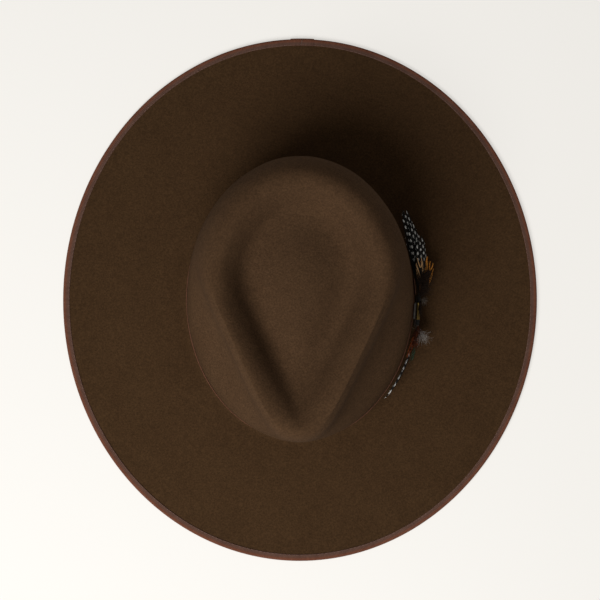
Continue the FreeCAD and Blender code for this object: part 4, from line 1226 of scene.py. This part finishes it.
# How each kind's barbs differ from make_feather's own: their spacing, angle to the shaft and
# width, how many hold together, how far the groups part, how far single barbs stray, where
# the vane starts, and how broad it is.
BARBS = {
    "guinea": dict(blunt=True),
    "slim": dict(angle=30, barb_width=0.5, clump=8, split=0.5, breadth=0.68),
    "pheasant": dict(pitch=3.4, angle=17, barb_width=1.35, clump=2, split=3.0, loose=0.6),
    "dark": dict(pitch=0.3, angle=24, barb_width=0.3, clump=4, split=1.2, loose=0.5,
                 start=13.0),
    "rust": dict(pitch=0.34, angle=25, barb_width=0.34, clump=4, split=1.2, loose=0.4,
                 start=12.5),
    "green": dict(pitch=0.9, angle=20, barb_width=0.26, clump=3, split=1.4, loose=0.3,
                  start=29.0),
}


def make_feathers():
    """Every feather of the ornament, in its CAD solid's place."""
    finishes = {
        "dots": guinea_finish("guinea_dots", 4.9, 3.5, 2.7, 1.5, (37, 42)),
        "dashes": guinea_finish("guinea_dashes", 6.0, 4.8, 4.5, 2.9),
        "golden": barb_finish("golden_barbs", (0.016, 0.008, 0.004), (0.060, 0.024, 0.009),
                              ((0.56, 0.17, 0.015), (0.86, 0.38, 0.06)), (0.48, 0.62), 42,
                              patchy=0.0),
        "tan": barb_finish("tan_barbs", (0.016, 0.008, 0.004), (0.070, 0.030, 0.012),
                           ((0.55, 0.26, 0.08), (0.78, 0.52, 0.28)), (0.55, 0.70), 42,
                           patchy=0.0),
        "rust": barb_finish("rust_barbs", (0.010, 0.005, 0.003), (0.040, 0.013, 0.006),
                            ((0.010, 0.004, 0.002), (0.40, 0.085, 0.016)), (0.40, 0.6), 36,
                            patchy=1.0),
        "dark": barb_finish("dark_barbs", (0.012, 0.007, 0.005), (0.050, 0.024, 0.013)),
        "green": barb_finish("green_barbs", (0.003, 0.018, 0.011), (0.008, 0.085, 0.045),
                             gloss=0.3, metallic=0.3),
    }
    dark_shaft = barb_finish("dark_quill", (0.012, 0.009, 0.007), (0.045, 0.033, 0.026),
                             gloss=0.4)
    for node, (end, place, reach, across, width, kind, slot, finish) in FEATHERS.items():
        make_feather(node + "_vane", node, slot, Spine(end, place, reach, across), width,
                     finishes[finish], dark_shaft, **BARBS[kind])


def make_down():
    """The white and grey plumes, and the fine down and strands round the feathers' quills."""
    white = barb_finish("white_down", (0.10, 0.086, 0.074), (0.38, 0.345, 0.315))
    grey = barb_finish("grey_down", (0.040, 0.031, 0.024), (0.16, 0.13, 0.105))
    brown = barb_finish("brown_down", (0.006, 0.004, 0.003), (0.030, 0.015, 0.008))
    rust = barb_finish("rust_down", (0.012, 0.005, 0.003), (0.10, 0.024, 0.008), patchy=1.0)
    make_tuft("white_plume_down", "white_plume", white, [(2.0, -14.0, -0.4)],
              140, (0.36, -1.0, -0.1), 0.26, (6.0, 16.5), 0.07, 0.8,
              stem=[(0.9, -0.8, 0), (0.9, -6, 0), (0.9, -12, 0), (2.2, -15, -0.5)])
    make_tuft("grey_plume_down", "grey_plume", grey, [(2.6, 8.3, 0.2)],
              110, (0.95, -0.2, 0.15), 0.55, (3.0, 7.0), 0.06, 1.4,
              stem=[(1.8, 8.5, 0), (2.4, 8.5, 0), (3.0, 8.4, 0)])
    make_tuft("brown_down_back", None, brown,
              [(1.6, 11.5, 1.0), (2.4, 17.0, 3.6), (-0.4, 21.0, 6.0), (3.4, 24.0, 4.6)],
              600, (0.16, 1.0, 0.05), 0.34, (6.0, 14.0), 0.13, 1.1)
    make_tuft("rust_down_front", None, rust,
              [(1.0, -12.0, 1.2), (-1.2, -20.0, 2.4)],
              260, (-0.10, -1.0, 0.10), 0.20, (5.0, 13.0), 0.09, 0.6)
    make_tuft("dark_strands_middle", None, brown, [(1.15, 7.0, 1.75)],
              90, (0.01, -1.0, 0.0), 0.05, (4.0, 13.0), 0.12, 0.22)


# ------------------------------------------------------------------ the ornament's fittings
FERRULE_HALF = 6.5
FERRULE_RADIUS, FERRULE_BORE = 1.7, 1.35
FERRULE_SIDES = 40
FERRULE_BEADS = ((0.35, 0.30), (1.5, 0.22))            # distance from the end, and size
LASHING_MIDDLE = FERRULE_HALF + 2.05
LASHING_LENGTH = 3.6
LASHING_TURNS = 9.5
LASHING_RADIUS, KNOT_RADIUS = 1.5, 1.72
PAD_CORNER = 4.0
PAD_MIDDLE = -FERRULE_RADIUS - 0.4
# the pad's rounded edge, front to back: how far in from its outline, and how far off
PAD_EDGE = ((1.0, 0.27), (0.55, 0.34), (0.15, 0.26), (0.0, 0.0), (0.15, -0.26),
            (0.55, -0.34), (1.0, -0.33))


def make_ferrule():
    """A brass tube with two rolled beads near each end."""
    stations = []
    for along in np.linspace(-FERRULE_HALF, FERRULE_HALF, 105):
        radius = FERRULE_RADIUS - 0.12
        for from_end, size in FERRULE_BEADS:
            for bead in (FERRULE_HALF - from_end, from_end - FERRULE_HALF):
                radius += size * 0.45 * bell(along - bead, size + 0.02)
        stations.append((along, min(radius, FERRULE_RADIUS)))
    outline = stations + [(along, FERRULE_BORE) for along, _ in reversed(stations)]
    rings = [[(radius * math.cos(turn), along, radius * math.sin(turn))
              for turn in turns_of(FERRULE_SIDES)] for along, radius in outline]
    tube = Shape()
    tube.add_grid(to_world(rings), np.linspace(0, 10, FERRULE_SIDES + 1),
                  section_lengths(outline), closed_rows=True)
    tube.make("ferrule_tube", ORNAMENT_BODY, brass, ["ornament_ferrule"])


def make_lashing(name, node, end):
    """Thread wound round the quills at one end of the ferrule, with two turns across it."""
    way = np.linspace(0, 1, int(LASHING_TURNS * 28))
    middle = end * LASHING_MIDDLE
    radius = LASHING_RADIUS + 0.03 * np.sin(way * 40)
    angle = way * LASHING_TURNS * TAU
    coil = np.stack([radius * np.cos(angle), middle + (way - 0.5) * LASHING_LENGTH,
                     radius * np.sin(angle)], -1)
    lashing = Shape()
    lashing.add_rod(to_world(coil), 0.235, sides=8)
    for lean in (0.7, 2.2):
        turn = np.linspace(lean, lean + 1.2, 9)
        knot = np.stack([KNOT_RADIUS * np.cos(turn), middle + 0.5 * np.sin(3 * turn),
                         KNOT_RADIUS * np.sin(turn)], -1)
        lashing.add_rod(to_world(knot), 0.22, sides=8)
    lashing.make(name, ORNAMENT_BODY, dark_thread, [node])


def make_backing_pad():
    """The rounded leather pad between the ornament and the band."""
    outline = []
    for corner_y, corner_z, start in ((8, 5, 0), (-8, 5, 90), (-8, -5, 180), (8, -5, 270)):
        turn = np.radians(np.linspace(start, start + 90, 10))
        outline += zip(corner_y + PAD_CORNER * np.cos(turn),
                       corner_z + PAD_CORNER * np.sin(turn))
    outline = np.array(outline)
    half_height = 9.0
    rings = []
    for inset, off in PAD_EDGE:
        out = np.full(len(outline), PAD_MIDDLE + off)
        rings.append(np.column_stack([out, outline * (1 - inset / half_height)]))
    pad = Shape()
    pad.add_closed(to_world(rings), to_world([PAD_MIDDLE + 0.3, 0, 0]),
                   to_world([PAD_MIDDLE - 0.34, 0, 0]))
    pad.make("backing_leather_pad", ORNAMENT_BODY, backing_leather, ["leather_backing"])


def finish_cad_nodes():
    """The reed and the clip keep their CAD shapes and get a material."""
    for node, material in (("sweatband_reed", reed_plastic), ("spring_clip", steel)):
        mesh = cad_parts[node].data
        mesh.materials.clear()
        mesh.materials.append(material)


# ------------------------------------------------------------------ stage, light and camera
CAMERA_HEIGHT = 2.0
BINDING_LEVEL = 3 * MM
VIEW_WIDTH = 0.600 / 1.2985            # metres across the picture at the brim's level
SENSOR = 36.0
FLOOR_HALF = 3
KEY_AZIMUTH, KEY_ELEVATION, KEY_DISTANCE = math.radians(-126), math.radians(53), 1.35
KEY_SIZE, KEY_POWER, SURROUND_POWER = 0.9, 19.5, 0.27


def make_floor():
    """A plain pale floor."""
    corners = [(-1, -1, 0), (1, -1, 0), (1, 1, 0), (-1, 1, 0)]
    mesh = bpy.data.meshes.new("floor")
    mesh.from_pydata([(x * FLOOR_HALF, y * FLOOR_HALF, z) for x, y, z in corners], [],
                     [(0, 1, 2, 3)])
    paper = Finish("floor_paper", 0.95, Specular_IOR_Level=0.1, Emission_Strength=0.62,
                   Emission_Color=(1.0, 0.975, 0.93, 1))
    paper.colour(paper.tone(400, 2, (0.298, 0.29, 0.276), (0.302, 0.295, 0.28)))
    mesh.materials.append(paper.material)
    add_to_scene("floor", mesh)


def make_light():
    """One large soft lamp and a pale surround."""
    lamp = bpy.data.lights.new("key", "AREA")
    lamp.shape = "DISK"
    lamp.size = KEY_SIZE
    lamp.energy = KEY_POWER
    key = add_to_scene("key", lamp)
    flat = KEY_DISTANCE * math.cos(KEY_ELEVATION)
    key.location = (flat * math.cos(KEY_AZIMUTH), flat * math.sin(KEY_AZIMUTH),
                    KEY_DISTANCE * math.sin(KEY_ELEVATION))
    key.rotation_euler = (-Vector(key.location)).to_track_quat("-Z", "Y").to_euler()
    world = bpy.data.worlds.new("surround")
    bpy.context.scene.world = world
    world.use_nodes = True
    surround = world.node_tree.nodes["Background"]
    surround.inputs["Color"].default_value = (0.87, 0.85, 0.82, 1)
    surround.inputs["Strength"].default_value = SURROUND_POWER


def make_camera():
    """A camera straight above the hat."""
    eye = bpy.data.cameras.new("camera")
    eye.sensor_width = SENSOR
    eye.lens = SENSOR * (CAMERA_HEIGHT - BINDING_LEVEL) / VIEW_WIDTH
    camera = add_to_scene("camera", eye)
    camera.location = (0, 0, CAMERA_HEIGHT)
    camera.rotation_euler = (0, 0, math.radians(0.5))
    bpy.context.scene.camera = camera
    bpy.context.scene.view_settings.view_transform = "Standard"


make_felt_body()
make_binding()
make_binding_lap()
make_binding_tack()
make_binding_stitches()
make_band()
make_band_keeper()
make_sweatband()
make_welt()
make_seam_tape()
make_sweatband_bow()
make_lining_side()
make_lining_tip()
make_lining_piping()
make_feathers()
make_down()
make_ferrule()
make_lashing("back_lashing_turns", "back_lashing", 1)
make_lashing("front_lashing_turns", "front_lashing", -1)
make_backing_pad()
finish_cad_nodes()
make_floor()
make_light()
make_camera()
